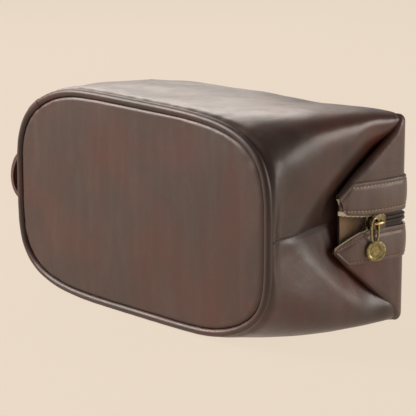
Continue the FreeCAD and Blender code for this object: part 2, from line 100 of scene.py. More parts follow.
def between(low: Any, high: Any, share: Any) -> Any:
    """A value share of the way from low to high."""
    return low + (high - low) * share


@dataclass(frozen=True)
class Layout:
    """Places that the sub-assemblies share, in metres, read from the frame."""

    base_y: float
    top_y: float
    half_length: float
    half_width: float
    mid_z: float
    fold_x: float
    fold_y: float
    fold_radius: float
    front_sink: float
    tip_y: float
    slider_low: float
    top_cut: float
    tip_half: float = 19 * MM
    shoulder: float = 6 * MM  # how far a V flap begins inside the long fold

    @staticmethod
    def read() -> "Layout":
        """Reads the boxes of the nodes that fix the bag's shape.

        Returns:
            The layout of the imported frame.
        """
        base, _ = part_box("base_panel")
        back_low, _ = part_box("back_wall")
        _, front_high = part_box("front_wall")
        _, panel_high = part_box("top_panel_front")
        fold_low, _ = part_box("right_edge_fold")
        flap_low, flap_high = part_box("right_flap_panel_back")
        _, edge_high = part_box("front_edge_fold")
        slider_low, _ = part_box("slider_body")
        half_width = (front_high.z - back_low.z) / 2
        mid_z = back_low.z + half_width
        radius = flap_high.x - fold_low.x
        fold_y = panel_high.y - radius
        nested = radius - (edge_high.y - fold_y)
        return Layout(
            base_y=base.y,
            top_y=panel_high.y,
            half_length=front_high.x,
            half_width=half_width,
            mid_z=mid_z,
            fold_x=fold_low.x,
            fold_y=fold_y,
            fold_radius=radius,
            front_sink=front_high.z - edge_high.z - nested,
            tip_y=flap_low.y,
            slider_low=slider_low.y,
            top_cut=fold_low.x - FLAP_LEAD,
        )

    def rim_half(self, side: Side) -> float:
        """Half width of the bag at its long folds, on one side of the middle."""
        return self.half_width - (self.front_sink if side is Side.FRONT else 0.0)

    def flap_half(self, side: Side, drop: Any) -> Any:
        """Half width of the V flap at a distance below the fold."""
        wide = self.rim_half(side) - self.shoulder
        share = np.clip(drop / (self.fold_y - self.tip_y), 0.0, 1.08)
        return between(wide, self.tip_half, share)

    @property
    def flap_long(self) -> float:
        """Distance from the fold to the flap's tip."""
        return self.fold_y - self.tip_y

    @property
    def fold_arc(self) -> float:
        """Length of leather that goes around a fold."""
        return self.fold_radius * math.pi / 2


PLACE = Layout.read()


@dataclass(frozen=True)
class Slump:
    """How far the soft form sinks and swells as it lies, and over what distances, in metres."""

    upper_left: float = 4.0 * MM
    lower_right: float = 3.6 * MM
    lower_base: float = 1.4 * MM
    right_sag: float = -1.3 * MM
    left_sag: float = 2.8 * MM
    fold_out: float = 3.4 * MM
    fold_up: float = 2.6 * MM
    fold_spread: float = 16 * MM
    rise_over: float = 45 * MM
    half_high: float = 70 * MM
    corner_over: float = 60 * MM
    corner_from: float = 15 * MM
    left_from: float = 62 * MM
    left_over: float = 70 * MM
    right_from: float = 70 * MM
    right_over: float = 65 * MM
    swell_over: float = 50 * MM
    base_from: float = 100 * MM
    base_over: float = 150 * MM

    def settle(self, points: Points) -> Points:
        """Lets a piece sink: the upper wall, mostly towards the left, and two opposite base corners.

        Args:
            points: Places of a piece, the last axis being x, y, z.

        Returns:
            The settled places.
        """
        points = np.array(points, dtype=float)
        across, up, high = points[..., 0], points[..., 1], points[..., 2] - PLACE.mid_z
        rise = ease((up - PLACE.base_y) / self.rise_over)
        upper = ease(high / self.half_high)
        lower = ease(-high / self.half_high)
        leftward = np.clip((PLACE.fold_x - across) / (2 * PLACE.fold_x), 0.0, 1.0)
        corner = ease((-across - self.left_from) / self.left_over)
        corner *= ease((high - self.corner_from) / self.corner_over)
        opposite = ease((across - self.right_from) / self.right_over)
        opposite *= ease((-high - self.corner_from) / self.corner_over)
        rightward = ease((across + self.base_from) / self.base_over)
        swell = np.exp(-((np.abs(across) - PLACE.fold_x) / self.fold_spread) ** 2)
        swell *= ease((up - PLACE.tip_y) / self.swell_over)
        points[..., 0] += self.upper_left * corner + self.fold_out * swell * np.sign(across)
        points[..., 1] += self.fold_up * swell
        points[..., 2] += lower * self.lower_base * (1 - rise) * rightward
        points[..., 2] += opposite * self.lower_right - corner * self.upper_left
        points[..., 2] -= rise * upper * between(self.right_sag, self.left_sag, leftward)
        return points


settle = Slump().settle


def even_points(line: Points, count: int) -> Points:
    """Resamples a line at even distances.

    Args:
        line: Points along the line, one per row.
        count: Number of points wanted.

    Returns:
        The evenly spaced points.
    """
    steps = np.linalg.norm(np.diff(line, axis=0), axis=1)
    along = np.concatenate([[0.0], np.cumsum(steps)])
    wanted = np.linspace(0.0, along[-1], count)
    return np.stack([np.interp(wanted, along, line[:, axis]) for axis in range(line.shape[1])], axis=1)


def squircle(half_long: float, half_wide: float, power: float, turns: Points) -> tuple[Points, Points]:
    """Points of a rounded oblong at the given angles, as across and up."""
    cos, sin = np.cos(turns), np.sin(turns)
    across = half_long * np.sign(cos) * np.abs(cos) ** (2 / power)
    up = half_wide * np.sign(sin) * np.abs(sin) ** (2 / power)
    return across, up


def sheet(points: Points, thickness: float = 0.0, flip: bool = False) -> bmesh.types.BMesh:
    """Shapes a grid into a surface, closes its seams and poles, and can give it thickness.

    Args:
        points: Rows by columns by 3 places, in the row frame.
        thickness: Leather or cloth thickness behind the surface.
        flip: True where rows and columns wind the wrong way for an outward face.

    Returns:
        The shaped mesh.
    """
    rows, columns = points.shape[0] - 1, points.shape[1] - 1
    mesh = bmesh.new()
    bmesh.ops.create_grid(mesh, x_segments=columns, y_segments=rows, size=0.5)
    for vertex in mesh.verts:
        column = round((vertex.co.x + 0.5) * columns)
        row = round((vertex.co.y + 0.5) * rows)
        vertex.co = points[row, column]
    bmesh.ops.remove_doubles(mesh, verts=mesh.verts[:], dist=0.01 * MM)
    if flip:
        bmesh.ops.reverse_faces(mesh, faces=mesh.faces[:])
    if thickness:
        bmesh.ops.solidify(mesh, geom=mesh.faces[:], thickness=thickness)
    return mesh


def tube(path: Points, radius: Any, around: int = 12, closed: bool = False,
         flat: float = 1.0) -> bmesh.types.BMesh:
    """A round or flattened tube along a path that lies near one plane.

    Args:
        path: Points along the middle of the tube.
        radius: One radius, or one for each point.
        around: Faces around the tube.
        closed: True for a ring.
        flat: Share of the radius across the path's plane.

    Returns:
        The tube, with closed ends unless it is a ring.
    """
    count = len(path)
    centre = path.mean(axis=0)
    _, _, axes = np.linalg.svd(path - centre)
    normal = axes[2]
    if closed:
        ahead = np.roll(path, -1, axis=0) - np.roll(path, 1, axis=0)
    else:
        ahead = np.gradient(path, axis=0)
    ahead /= np.linalg.norm(ahead, axis=1)[:, None]
    aside = np.cross(ahead, normal)
    aside /= np.linalg.norm(aside, axis=1)[:, None]
    up = np.cross(aside, ahead)
    radii = np.broadcast_to(radius, (count,))
    turn = np.linspace(0.0, 2 * math.pi, around + 1)
    ring = (np.cos(turn)[None, :, None] * aside[:, None, :]
            + np.sin(turn)[None, :, None] * up[:, None, :] * flat)
    points = path[:, None, :] + ring * radii[:, None, None]
    if closed:
        points = np.concatenate([points, points[:1]], axis=0)
    mesh = sheet(points)
    if not closed:
        edges = [edge for edge in mesh.edges if edge.is_boundary]
        bmesh.ops.holes_fill(mesh, edges=edges, sides=around)
    bmesh.ops.recalc_face_normals(mesh, faces=mesh.faces[:])
    return mesh


def wobble(points: Points, size: float, depth: float, seed: float = 0.0) -> Points:
    """Smooth hills and hollows over a surface's points, in metres of height."""
    flat = points.reshape(-1, 3) / size
    shift = Vector((seed, seed * 1.7, seed * 0.6))
    hills = [noise.noise(Vector(place) + shift) for place in flat]
    return np.array(hills).reshape(points.shape[:2]) * depth


def stand(name: str, data: Any) -> bpy.types.Object:
    """Puts data into the scene as an object at the origin."""
    thing = bpy.data.objects.new(name, data)
    bpy.context.scene.collection.objects.link(thing)
    return thing


def publish(name: str, mesh: bmesh.types.BMesh, finish: bpy.types.Material,
            crease: float = 50.0) -> bpy.types.Object:
    """Makes an object of a mesh, shades it smooth and gives it its finish.

    Args:
        name: The piece's name.
        mesh: The finished mesh; it is freed.
        finish: The material.
        crease: Angle in degrees over which an edge stays sharp.

    Returns:
        The new object.
    """
    for face in mesh.faces:
        face.smooth = True
    data = bpy.data.meshes.new(name)
    mesh.to_mesh(data)
    mesh.free()
    data.set_sharp_from_angle(angle=math.radians(crease))
    data.materials.append(finish)
    piece = stand(name, data)
    log.info("%s: %d faces", name, len(data.polygons))
    return piece


def ride_flap(piece: bpy.types.Object) -> None:
    """Bakes a flap piece's placement into its mesh."""
    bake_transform(piece)


def ride_top(piece: bpy.types.Object) -> None:
    """Bakes a top piece's placement into its mesh."""
    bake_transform(piece)


# ---- finishes --------------------------------------------------------------------------------------------


class Wiring:
    """Adds nodes to a tree and joins them, so that a finish reads as a list of steps."""

    def __init__(self, tree: bpy.types.NodeTree) -> None:
        """Keeps the tree that nodes are added to."""
        self.tree = tree

    def add(self, kind: str, inputs: Optional[dict] = None, **settings: Any) -> bpy.types.Node:
        """Adds a node.

        Args:
            kind: The node's type.
            inputs: Socket name or number to a value or to another node's output.
            settings: The node's own properties.

        Returns:
            The node.
        """
        node = self.tree.nodes.new(kind)
        for name, value in settings.items():
            setattr(node, name, value)
        for key, value in (inputs or {}).items():
            if isinstance(value, bpy.types.NodeSocket):
                self.tree.links.new(value, node.inputs[key])
            else:
                node.inputs[key].default_value = value
        return node

    def mix(self, share: Any, first: Any, second: Any) -> Socket:
        """Mixes two colours and gives the result's socket."""
        node = self.add("ShaderNodeMix", {0: share, 6: first, 7: second}, data_type="RGBA")
        return node.outputs[2]

    def noise(self, vector: Socket, scale: float, detail: float = 3.0,
              roughness: float = 0.5) -> bpy.types.Node:
        """A noise texture of a scale, detail and roughness."""
        return self.add("ShaderNodeTexNoise", {"Vector": vector, "Scale": scale, "Detail": detail,
                                               "Roughness": roughness})

    def maths(self, operation: str, *values: Any) -> Socket:
        """One arithmetic step on numbers or sockets."""
        node = self.add("ShaderNodeMath", dict(enumerate(values)), operation=operation)
        return node.outputs[0]

    def remap(self, value: Any, low: float, high: float, to_low: float, to_high: float) -> Socket:
        """Moves a value from one range to another, held at its ends."""
        node = self.add("ShaderNodeMapRange", {0: value, 1: low, 2: high, 3: to_low, 4: to_high})
        return node.outputs[0]


def new_group(name: str, inputs: dict[str, tuple[str, Any]], outputs: dict[str, str]) -> tuple:
    """Starts a node group with named inputs and outputs.

    Args:
        name: The group's name.
        inputs: Name to socket type and starting value.
        outputs: Name to socket type.

    Returns:
        The group, its wiring, its input node and its output node.
    """
    tree = bpy.data.node_groups.new(name, "ShaderNodeTree")
    for label, (kind, value) in inputs.items():
        socket = tree.interface.new_socket(name=label, in_out="INPUT", socket_type=kind)
        if value is not None:
            socket.default_value = value
    for label, kind in outputs.items():
        tree.interface.new_socket(name=label, in_out="OUTPUT", socket_type=kind)
    wiring = Wiring(tree)
    return tree, wiring, wiring.add("NodeGroupInput"), wiring.add("NodeGroupOutput")


def grain_group() -> bpy.types.NodeTree:
    """Fine leather grain: small rounded cells with creases between them, over soft pores."""
    tree, wiring, given, result = new_group(
        "Leather Grain",
        {"Vector": ("NodeSocketVector", None), "Cells per Metre": ("NodeSocketFloat", 800.0),
         "Crease Depth": ("NodeSocketFloat", 0.5)},
        {"Height": "NodeSocketFloat", "Crease": "NodeSocketFloat"})
    vector = given.outputs["Vector"]
    bend = wiring.noise(vector, 260.0, detail=2.0)
    shifted = wiring.add("ShaderNodeVectorMath",
                         {0: bend.outputs["Color"], 1: (0.0016, 0.0016, 0.0016)}, operation="MULTIPLY")
    moved = wiring.add("ShaderNodeVectorMath", {0: vector, 1: shifted.outputs[0]}, operation="ADD")
    cells = wiring.add("ShaderNodeTexVoronoi",
                       {"Vector": moved.outputs[0], "Scale": given.outputs["Cells per Metre"]},
                       feature="DISTANCE_TO_EDGE")
    crease = wiring.remap(cells.outputs["Distance"], 0.0, 0.22, 1.0, 0.0)
    pores = wiring.noise(vector, 2600.0, detail=2.0)
    sunk = wiring.maths("MULTIPLY", crease, given.outputs["Crease Depth"])
    height = wiring.maths("SUBTRACT", wiring.maths("MULTIPLY", pores.outputs[0], 0.35), sunk)
    wiring.tree.links.new(height, result.inputs["Height"])
    wiring.tree.links.new(crease, result.inputs["Crease"])
    return tree


def patina_group() -> bpy.types.NodeTree:
    """Waxed patina: broad warm patches over a dark ground, with soft streaks and rubbed spots."""
    tree, wiring, given, result = new_group(
        "Waxed Patina",
        {"Vector": ("NodeSocketVector", None), "Ground": ("NodeSocketColor", None),
         "Warm": ("NodeSocketColor", None), "Rubbed": ("NodeSocketColor", None),
         "Warmth": ("NodeSocketFloat", 0.5)},
        {"Color": "NodeSocketColor", "Rub": "NodeSocketFloat", "Patch": "NodeSocketFloat"})
    vector = given.outputs["Vector"]
    broad = wiring.noise(vector, 17.0, roughness=0.55)
    stretched = wiring.add("ShaderNodeMapping", {"Vector": vector, "Scale": (1.0, 1.0, 0.18)})
    streaks = wiring.noise(stretched.outputs[0], 95.0, roughness=0.6)
    fine = wiring.noise(vector, 420.0, roughness=0.7)
    patch = wiring.remap(broad.outputs[0], 0.42, 0.68, 0.0, 1.0)
    warm_share = wiring.maths("MULTIPLY", patch, given.outputs["Warmth"])
    ground = wiring.mix(warm_share, given.outputs["Ground"], given.outputs["Warm"])
    rub = wiring.maths("MULTIPLY", wiring.remap(streaks.outputs[0], 0.45, 0.75, 0.0, 1.0),
                       wiring.remap(fine.outputs[0], 0.3, 0.7, 0.35, 1.0))
    colour = wiring.mix(wiring.maths("MULTIPLY", rub, 0.45), ground, given.outputs["Rubbed"])
    wiring.tree.links.new(colour, result.inputs["Color"])
    wiring.tree.links.new(rub, result.inputs["Rub"])
    wiring.tree.links.new(patch, result.inputs["Patch"])
    return tree


def weave_group() -> bpy.types.NodeTree:
    """Plain weave: crossing threads, given as a height and as a shade."""
    tree, wiring, given, result = new_group(
        "Plain Weave",
        {"Vector": ("NodeSocketVector", None), "Threads per Metre": ("NodeSocketFloat", 1800.0)},
        {"Height": "NodeSocketFloat", "Shade": "NodeSocketFloat"})
    ribs = []
    for direction in ("X", "Y", "Z"):
        wave = wiring.add("ShaderNodeTexWave",
                          {"Vector": given.outputs["Vector"], "Scale": given.outputs["Threads per Metre"],
                           "Distortion": 0.6, "Detail": 1.0}, wave_type="BANDS", bands_direction=direction)
        ribs.append(wave.outputs["Fac"])
    height = wiring.maths("MULTIPLY", wiring.maths("ADD", wiring.maths("ADD", *ribs[:2]), ribs[2]), 0.33)
    speckle = wiring.noise(given.outputs["Vector"], 700.0)
    shade = wiring.maths("MULTIPLY", height, wiring.remap(speckle.outputs[0], 0.3, 0.7, 0.7, 1.15))
    wiring.tree.links.new(height, result.inputs["Height"])
    wiring.tree.links.new(shade, result.inputs["Shade"])
    return tree


def tarnish_group() -> bpy.types.NodeTree:
    """Antique tarnish: dark stains in cloudy patches, and fine scratches."""
    tree, wiring, given, result = new_group(
        "Tarnish",
        {"Vector": ("NodeSocketVector", None), "Amount": ("NodeSocketFloat", 0.6)},
        {"Stain": "NodeSocketFloat", "Height": "NodeSocketFloat"})
    cloud = wiring.noise(given.outputs["Vector"], 480.0, detail=5.0, roughness=0.65)
    patches = wiring.remap(cloud.outputs[0], 0.4, 0.62, 0.0, 1.0)
    stain = wiring.maths("MULTIPLY", patches, given.outputs["Amount"])
    scratch = wiring.add("ShaderNodeMapping", {"Vector": given.outputs["Vector"], "Scale": (1.0, 6.0, 0.6)})
    lines = wiring.noise(scratch.outputs[0], 1500.0, detail=2.0)
    wiring.tree.links.new(stain, result.inputs["Stain"])
    wiring.tree.links.new(lines.outputs[0], result.inputs["Height"])
    return tree


class Effects:
    """The shared node groups, each built once."""

    def __init__(self) -> None:
        """Builds every group."""
        self.grain = grain_group()
        self.patina = patina_group()
        self.weave = weave_group()
        self.tarnish = tarnish_group()


def start_material(name: str) -> tuple[bpy.types.Material, Wiring, bpy.types.Node, Socket]:
    """Starts a material and gives it with its wiring, its main shader and its object coordinates."""
    material = bpy.data.materials.new(name)
    material.use_nodes = True
    material.node_tree.nodes.clear()
    wiring = Wiring(material.node_tree)
    shader = wiring.add("ShaderNodeBsdfPrincipled")
    wiring.add("ShaderNodeOutputMaterial", {"Surface": shader.outputs[0]})
    coordinates = wiring.add("ShaderNodeTexCoord")
    return material, wiring, shader, coordinates.outputs["Object"]


@dataclass(frozen=True)
class LeatherFinish:
    """Waxed, glazed leather with grain, warm patches and rubbed streaks."""

    name: str
    ground: tuple[float, float, float] = (0.033, 0.0175, 0.013)
    warm: tuple[float, float, float] = (0.105, 0.026, 0.016)
    rubbed: tuple[float, float, float] = (0.085, 0.058, 0.044)
    warmth: float = 0.6
    roughness: float = 0.4
    cells: float = 1500.0
    crease: float = 0.3
    relief: float = 0.12
    glaze: float = 0.25
    swell: float = 0.5

    def build(self, effects: Effects) -> bpy.types.Material:
        """Builds the material.

        Args:
            effects: The shared node groups.

        Returns:
            The material.
        """
        material, wiring, shader, place = start_material(self.name)
        grain = wiring.add("ShaderNodeGroup", node_tree=effects.grain)
        patina = wiring.add("ShaderNodeGroup", node_tree=effects.patina)
        for node in (grain, patina):
            wiring.tree.links.new(place, node.inputs["Vector"])
        grain.inputs["Cells per Metre"].default_value = self.cells
        grain.inputs["Crease Depth"].default_value = self.crease
        patina.inputs["Ground"].default_value = (*self.ground, 1.0)
        patina.inputs["Warm"].default_value = (*self.warm, 1.0)
        patina.inputs["Rubbed"].default_value = (*self.rubbed, 1.0)
        patina.inputs["Warmth"].default_value = self.warmth
        dark = wiring.mix(wiring.maths("MULTIPLY", grain.outputs["Crease"], 0.35),
                          patina.outputs["Color"], (0.012, 0.006, 0.005, 1.0))
        rough = wiring.maths("ADD", self.roughness, wiring.maths("MULTIPLY", patina.outputs["Rub"], 0.14))
        rough = wiring.maths("SUBTRACT", rough, wiring.maths("MULTIPLY", patina.outputs["Patch"], 0.05))
        waves = wiring.noise(place, 55.0)
        swell = wiring.add("ShaderNodeBump", {"Height": waves.outputs[0], "Strength": self.swell,
                                              "Distance": 1.2 * MM})
        bump = wiring.add("ShaderNodeBump", {"Height": grain.outputs["Height"], "Strength": self.relief,
                                             "Distance": 0.4 * MM, "Normal": swell.outputs[0]})
        wiring.tree.links.new(dark, shader.inputs["Base Color"])
        wiring.tree.links.new(rough, shader.inputs["Roughness"])
        wiring.tree.links.new(bump.outputs[0], shader.inputs["Normal"])
        shader.inputs["Coat Weight"].default_value = self.glaze
        shader.inputs["Coat Roughness"].default_value = 0.3
        return material


@dataclass(frozen=True)
class ClothFinish:
    """Woven cloth, thread or cord."""

    name: str
    light: tuple[float, float, float]
    dark: tuple[float, float, float]
    threads: float = 1800.0
    roughness: float = 0.85
    relief: float = 0.5
    sheen: float = 0.2

    def build(self, effects: Effects) -> bpy.types.Material:
        """Builds the material from the weave group."""
        material, wiring, shader, place = start_material(self.name)
        weave = wiring.add("ShaderNodeGroup", {"Vector": place, "Threads per Metre": self.threads},
                           node_tree=effects.weave)
        colour = wiring.mix(weave.outputs["Shade"], (*self.dark, 1.0), (*self.light, 1.0))
        bump = wiring.add("ShaderNodeBump", {"Height": weave.outputs["Height"], "Strength": self.relief,
                                             "Distance": 0.2 * MM})
        wiring.tree.links.new(colour, shader.inputs["Base Color"])
        wiring.tree.links.new(bump.outputs[0], shader.inputs["Normal"])
        shader.inputs["Roughness"].default_value = self.roughness
        shader.inputs["Sheen Weight"].default_value = self.sheen
        return material


@dataclass(frozen=True)
class MetalFinish:
    """Antique brass: warm metal, stained in cloudy patches."""

    name: str
    bright: tuple[float, float, float] = (0.4, 0.335, 0.155)
    stain: tuple[float, float, float] = (0.15, 0.12, 0.06)
    roughness: float = 0.38
    tarnish: float = 0.75

    def build(self, effects: Effects) -> bpy.types.Material:
        """Builds the material from the tarnish group."""
        material, wiring, shader, place = start_material(self.name)
        tarnish = wiring.add("ShaderNodeGroup", {"Vector": place, "Amount": self.tarnish},
                             node_tree=effects.tarnish)
        colour = wiring.mix(tarnish.outputs["Stain"], (*self.bright, 1.0), (*self.stain, 1.0))
        rough = wiring.maths("ADD", self.roughness, wiring.maths("MULTIPLY", tarnish.outputs["Stain"], 0.25))
        bump = wiring.add("ShaderNodeBump", {"Height": tarnish.outputs["Height"], "Strength": 0.15,
                                             "Distance": 0.05 * MM})
        wiring.tree.links.new(colour, shader.inputs["Base Color"])
        wiring.tree.links.new(rough, shader.inputs["Roughness"])
        wiring.tree.links.new(bump.outputs[0], shader.inputs["Normal"])
        shader.inputs["Metallic"].default_value = 1.0
        return material


class Finishes:
    """Every finish on the bag, built once."""

    def __init__(self) -> None:
        """Builds the materials."""
        leather = [
            LeatherFinish("wall leather", ground=(0.037, 0.0175, 0.0125), warmth=0.75),
            LeatherFinish("base leather", ground=(0.05, 0.026, 0.0195), warmth=0.5, roughness=0.46,
                          relief=0.1, swell=0.2, glaze=0.12),
            LeatherFinish("flap leather", ground=(0.07, 0.038, 0.029), warmth=0.75, roughness=0.44,
                          rubbed=(0.165, 0.102, 0.079)),
            LeatherFinish("top leather", ground=(0.098, 0.06, 0.047), warmth=0.3, roughness=0.46, swell=0.35,
                          rubbed=(0.23, 0.155, 0.122)),
            LeatherFinish("piping leather", ground=(0.034, 0.015, 0.011), warmth=0.55, roughness=0.46,
                          cells=1100.0, swell=0.2, glaze=0.1),
            LeatherFinish("handle leather", ground=(0.05, 0.018, 0.012), warmth=0.9, roughness=0.42),
            LeatherFinish("flesh side leather", ground=(0.045, 0.024, 0.016), warm=(0.07, 0.035, 0.022),
                          rubbed=(0.11, 0.07, 0.045), roughness=0.8, glaze=0.0, relief=0.5),
        ]
        cloth = [
            ClothFinish("cotton lining", (0.36, 0.24, 0.14), (0.16, 0.095, 0.05)),
            ClothFinish("frayed raw edge", (0.78, 0.68, 0.52), (0.42, 0.33, 0.22), threads=2600.0,
                        relief=0.9),
            ClothFinish("zip tape", (0.045, 0.026, 0.02), (0.016, 0.009, 0.007), threads=2400.0,
                        roughness=0.7),
            ClothFinish("zip coil", (0.06, 0.04, 0.032), (0.022, 0.014, 0.011), threads=1500.0,
                        roughness=0.45, relief=0.3, sheen=0.0),
            ClothFinish("gold thread", (0.68, 0.46, 0.22), (0.42, 0.26, 0.11), threads=3500.0,
                        roughness=0.55),
            ClothFinish("rust thread", (0.42, 0.2, 0.1), (0.22, 0.09, 0.05), threads=3500.0, roughness=0.55),
            # near-black cloth for the tube along each end seam: painted shade of the seam's valley, not thread
            ClothFinish("painted seam shade", (0.03, 0.014, 0.01), (0.012, 0.006, 0.005), threads=3500.0,
                        roughness=0.6),
            ClothFinish("fibre board", (0.12, 0.1, 0.085), (0.06, 0.05, 0.04), threads=900.0),
        ]
        metal = [
            MetalFinish("antique brass"),
            MetalFinish("rubbed brass", bright=(0.72, 0.5, 0.24), tarnish=0.3, roughness=0.28),
            MetalFinish("dark brass", bright=(0.17, 0.135, 0.075), stain=(0.06, 0.045, 0.03),
                        roughness=0.42),
        ]
        effects = Effects()
        (self.walls, self.base, self.flap, self.top, self.piping, self.handle,
         self.flesh) = [finish.build(effects) for finish in leather]
        (self.lining, self.raw, self.tape, self.coil, self.gold_thread, self.rust_thread, self.dark_thread,
         self.board) = [finish.build(effects) for finish in cloth]
        self.brass, self.warm_brass, self.dark_brass = [finish.build(effects) for finish in metal]


# ---- shell -----------------------------------------------------------------------------------------------


@dataclass
class Shell:
    """The soft walls, base and piping: one continuous form that sags between its seams."""

    finishes: Finishes
    leather: float = 2.0 * MM
    cotton: float = 0.6 * MM
    lining_gap: float = 5.0 * MM
    base_power: float = 4.1  # how square the outline is at the base, and below at the rim
    rim_power: float = 24.0
    rim_inset: float = 2.4 * MM
    rim_corner_lift: float = 0.45  # share of the rim's rise that is left at the ends
    piping_radius: float = 2.8 * MM
    tuck: float = 2.0 * MM  # how far the walls are drawn in at the piping
    tuck_over: float = 4.0 * MM
    belly: float = 1.2 * MM  # how far the walls swell at half height
    plump: float = 1.0 * MM  # how far they stand out everywhere above the base
    end_pinch: float = 17.0 * MM  # how far the end walls are pushed in under the flaps
    pinch_edge: float = 29.0 * MM
    hollow: float = 7.0 * MM  # how far they are pushed in below the flaps
    hollow_wide: float = 40.0 * MM
    end_only: int = 12  # the power that keeps the pinch on the ends
    seam_depth: float = 1.0 * MM
    seam_wide: float = 2.4 * MM
    seam_line: float = 0.75 * MM  # half the thickness of the dark tube painted along the seam as the shade in its valley
    columns: int = 330
    seam_lines: dict[End, Points] = field(default_factory=dict)
    skins: list[BVHTree] = field(default_factory=list)

    def outline(self, side: Side, height: float, columns: int, inset: float = 0.0) -> Points:
        """Half of the outline at a height above the base, from the right end's middle to the left end's.

        Args:
            side: Front or back half.
            height: Distance above the base.
            columns: Number of points.
            inset: Distance inside the outer surface.

        Returns:
            Across and up, one point per row.
        """
        share = height / (PLACE.top_y - PLACE.base_y)
        half_long = between(PLACE.half_length, PLACE.fold_x + PLACE.fold_radius - self.rim_inset, share)
        half_wide = between(PLACE.half_width, PLACE.rim_half(side), share)
        power = between(self.base_power, self.rim_power, share ** 1.5)
        turns = np.linspace(0.0, math.pi, 1600)
        across, up = squircle(half_long - inset, half_wide - inset, power, turns)
        return even_points(np.stack([across, up * side.value], axis=1), columns)

    def pinch(self, across: Points, up: Points, height: float) -> Points:
        """How far the end wall is pushed in, so that it hollows towards the flap that covers it."""
        tip_height = PLACE.tip_y - PLACE.base_y
        beyond = np.abs(up) - PLACE.tip_half - (height - tip_height)
        open_hollow = self.hollow * np.exp(-(up / self.hollow_wide) ** 2) * ease(height / (18 * MM))
        covered = ease((self.pinch_edge - beyond) / (2 * self.pinch_edge))
        near_end = (np.abs(across) / np.abs(across).max()) ** self.end_only
        from_edge = ease((PLACE.half_width - 8 * MM - np.abs(up)) / (26 * MM))
        kept = between(1.0, from_edge, ease((height - 88 * MM) / (26 * MM)))
        return between(open_hollow, self.end_pinch, covered) * near_end * kept

    def surface(self, side: Side, columns: int, spacing: float, behind: float = 0.0,
                with_rim: bool = True) -> Points:
        """The wall's points by height and distance around the bag.

        Args:
            side: Front or back half.
            columns: Points around the half.
            spacing: Distance between rows.
            behind: Distance inside the outer surface.
            with_rim: True to carry the surface over the rim's fold.

        Returns:
            Rows by columns by 3 places.
        """
        straight = PLACE.fold_y - PLACE.base_y
        first = self.piping_radius * 1.35 + behind * 0.6
        heights = np.linspace(first, straight, round(straight / spacing))
        rows = [(height, 0.0) for height in heights]
        if with_rim:
            rows += [(straight, turn) for turn in np.linspace(0.0, math.pi / 2, 9)[1:]]
        surface = np.empty((len(rows), columns, 3))
        for index, (height, turn) in enumerate(rows):
            tucked = self.tuck * (1 - ease((height - first) / self.tuck_over))
            swell = self.belly * math.sin(math.pi * min(height / straight, 1.0))
            swell += self.plump * ease(height / (12 * MM))
            rolled = PLACE.fold_radius * (1 - math.cos(turn))
            line = self.outline(side, height, columns, tucked - swell + rolled + behind)
            pushed = self.pinch(line[:, 0], line[:, 1], height)
            faded = ease((height - 6 * MM) / (24 * MM))
            valley = self.seam_depth * faded * np.exp(-(line[:, 1] / self.seam_wide) ** 2)
            at_end = (np.abs(line[:, 0]) / np.abs(line[:, 0]).max()) ** self.end_only
            surface[index, :, 0] = line[:, 0] - np.sign(line[:, 0]) * (pushed + valley * at_end)
            lift = PLACE.fold_radius * math.sin(turn) * between(1.0, self.rim_corner_lift, at_end)
            surface[index, :, 1] = PLACE.base_y + height + lift
            surface[index, :, 2] = PLACE.mid_z + line[:, 1]
        return surface

    def build(self) -> None:
        """Builds both walls, the base with its piping and the linings."""
        for side in Side:
            self.build_wall(side)
        self.build_base()
        self.build_insole("base_board", "stiffening_board", self.finishes.board)
        self.build_insole("base_lining", "base_cotton_lining", self.finishes.lining)
        for side in Side:
            self.build_lining(side)
        self.build_piping()
        self.build_end_seams()

    def build_wall(self, side: Side) -> None:
        """One wall: a long side and half of each end."""
        points = self.surface(side, self.columns, 1.5 * MM)
        away = np.cross(np.gradient(points, axis=1), np.gradient(points, axis=0))
        away *= -side.value / np.linalg.norm(away, axis=2)[..., None]
        near_seam = ease((points[..., 1] - PLACE.base_y) / (25 * MM))[..., None]
        dents = wobble(points, 60 * MM, 1.3 * MM) + wobble(points, 24 * MM, 0.5 * MM, 3.0)
        puckers = wobble(points * np.array([1.0, 0.25, 1.0]), 9 * MM, 0.4 * MM, 8.0)
        low = np.exp(-((points[..., 1] - PLACE.base_y) / (16 * MM)) ** 2)
        points = points + away * (dents[..., None] * near_seam + (puckers * low)[..., None])
        points = settle(points)
        self.seam_lines = {End.RIGHT: points[:, 0], End.LEFT: points[:, -1]}
        mesh = sheet(points, self.leather, flip=side is Side.FRONT)
        self.skins.append(BVHTree.FromBMesh(mesh))
        wall = publish(f"{side.word}_leather_wall", mesh, self.finishes.walls)
        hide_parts(f"{side.word}_wall", f"{side.word}_edge_fold")
        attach(wall, "shell")

    def left_reach(self, up: float, high: float) -> float:
        """How far out the left end's wall stands at a place, found by a ray from outside."""
        start = Vector((-2 * PLACE.half_length, up, high))
        hits = [skin.ray_cast(start, Vector((1.0, 0.0, 0.0)))[0] for skin in self.skins]
        return max(-hit.x for hit in hits if hit)

    def build_lining(self, side: Side) -> None:
        """The cotton lining, hung inside one wall."""
        points = self.surface(side, 130, 3.5 * MM, behind=self.lining_gap, with_rim=False)
        folds = wobble(points * np.array([1.0, 0.3, 1.0]), 13 * MM, 0.9 * MM, 5.0)
        points[..., 2] += folds * side.value
        mesh = sheet(settle(points), self.cotton, flip=side is Side.FRONT)
        lining = publish(f"{side.word}_cotton_lining", mesh, self.finishes.lining)
        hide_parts(f"{side.word}_lining", *(f"{end.word}_end_gusset" for end in End))
        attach(lining, "shell")

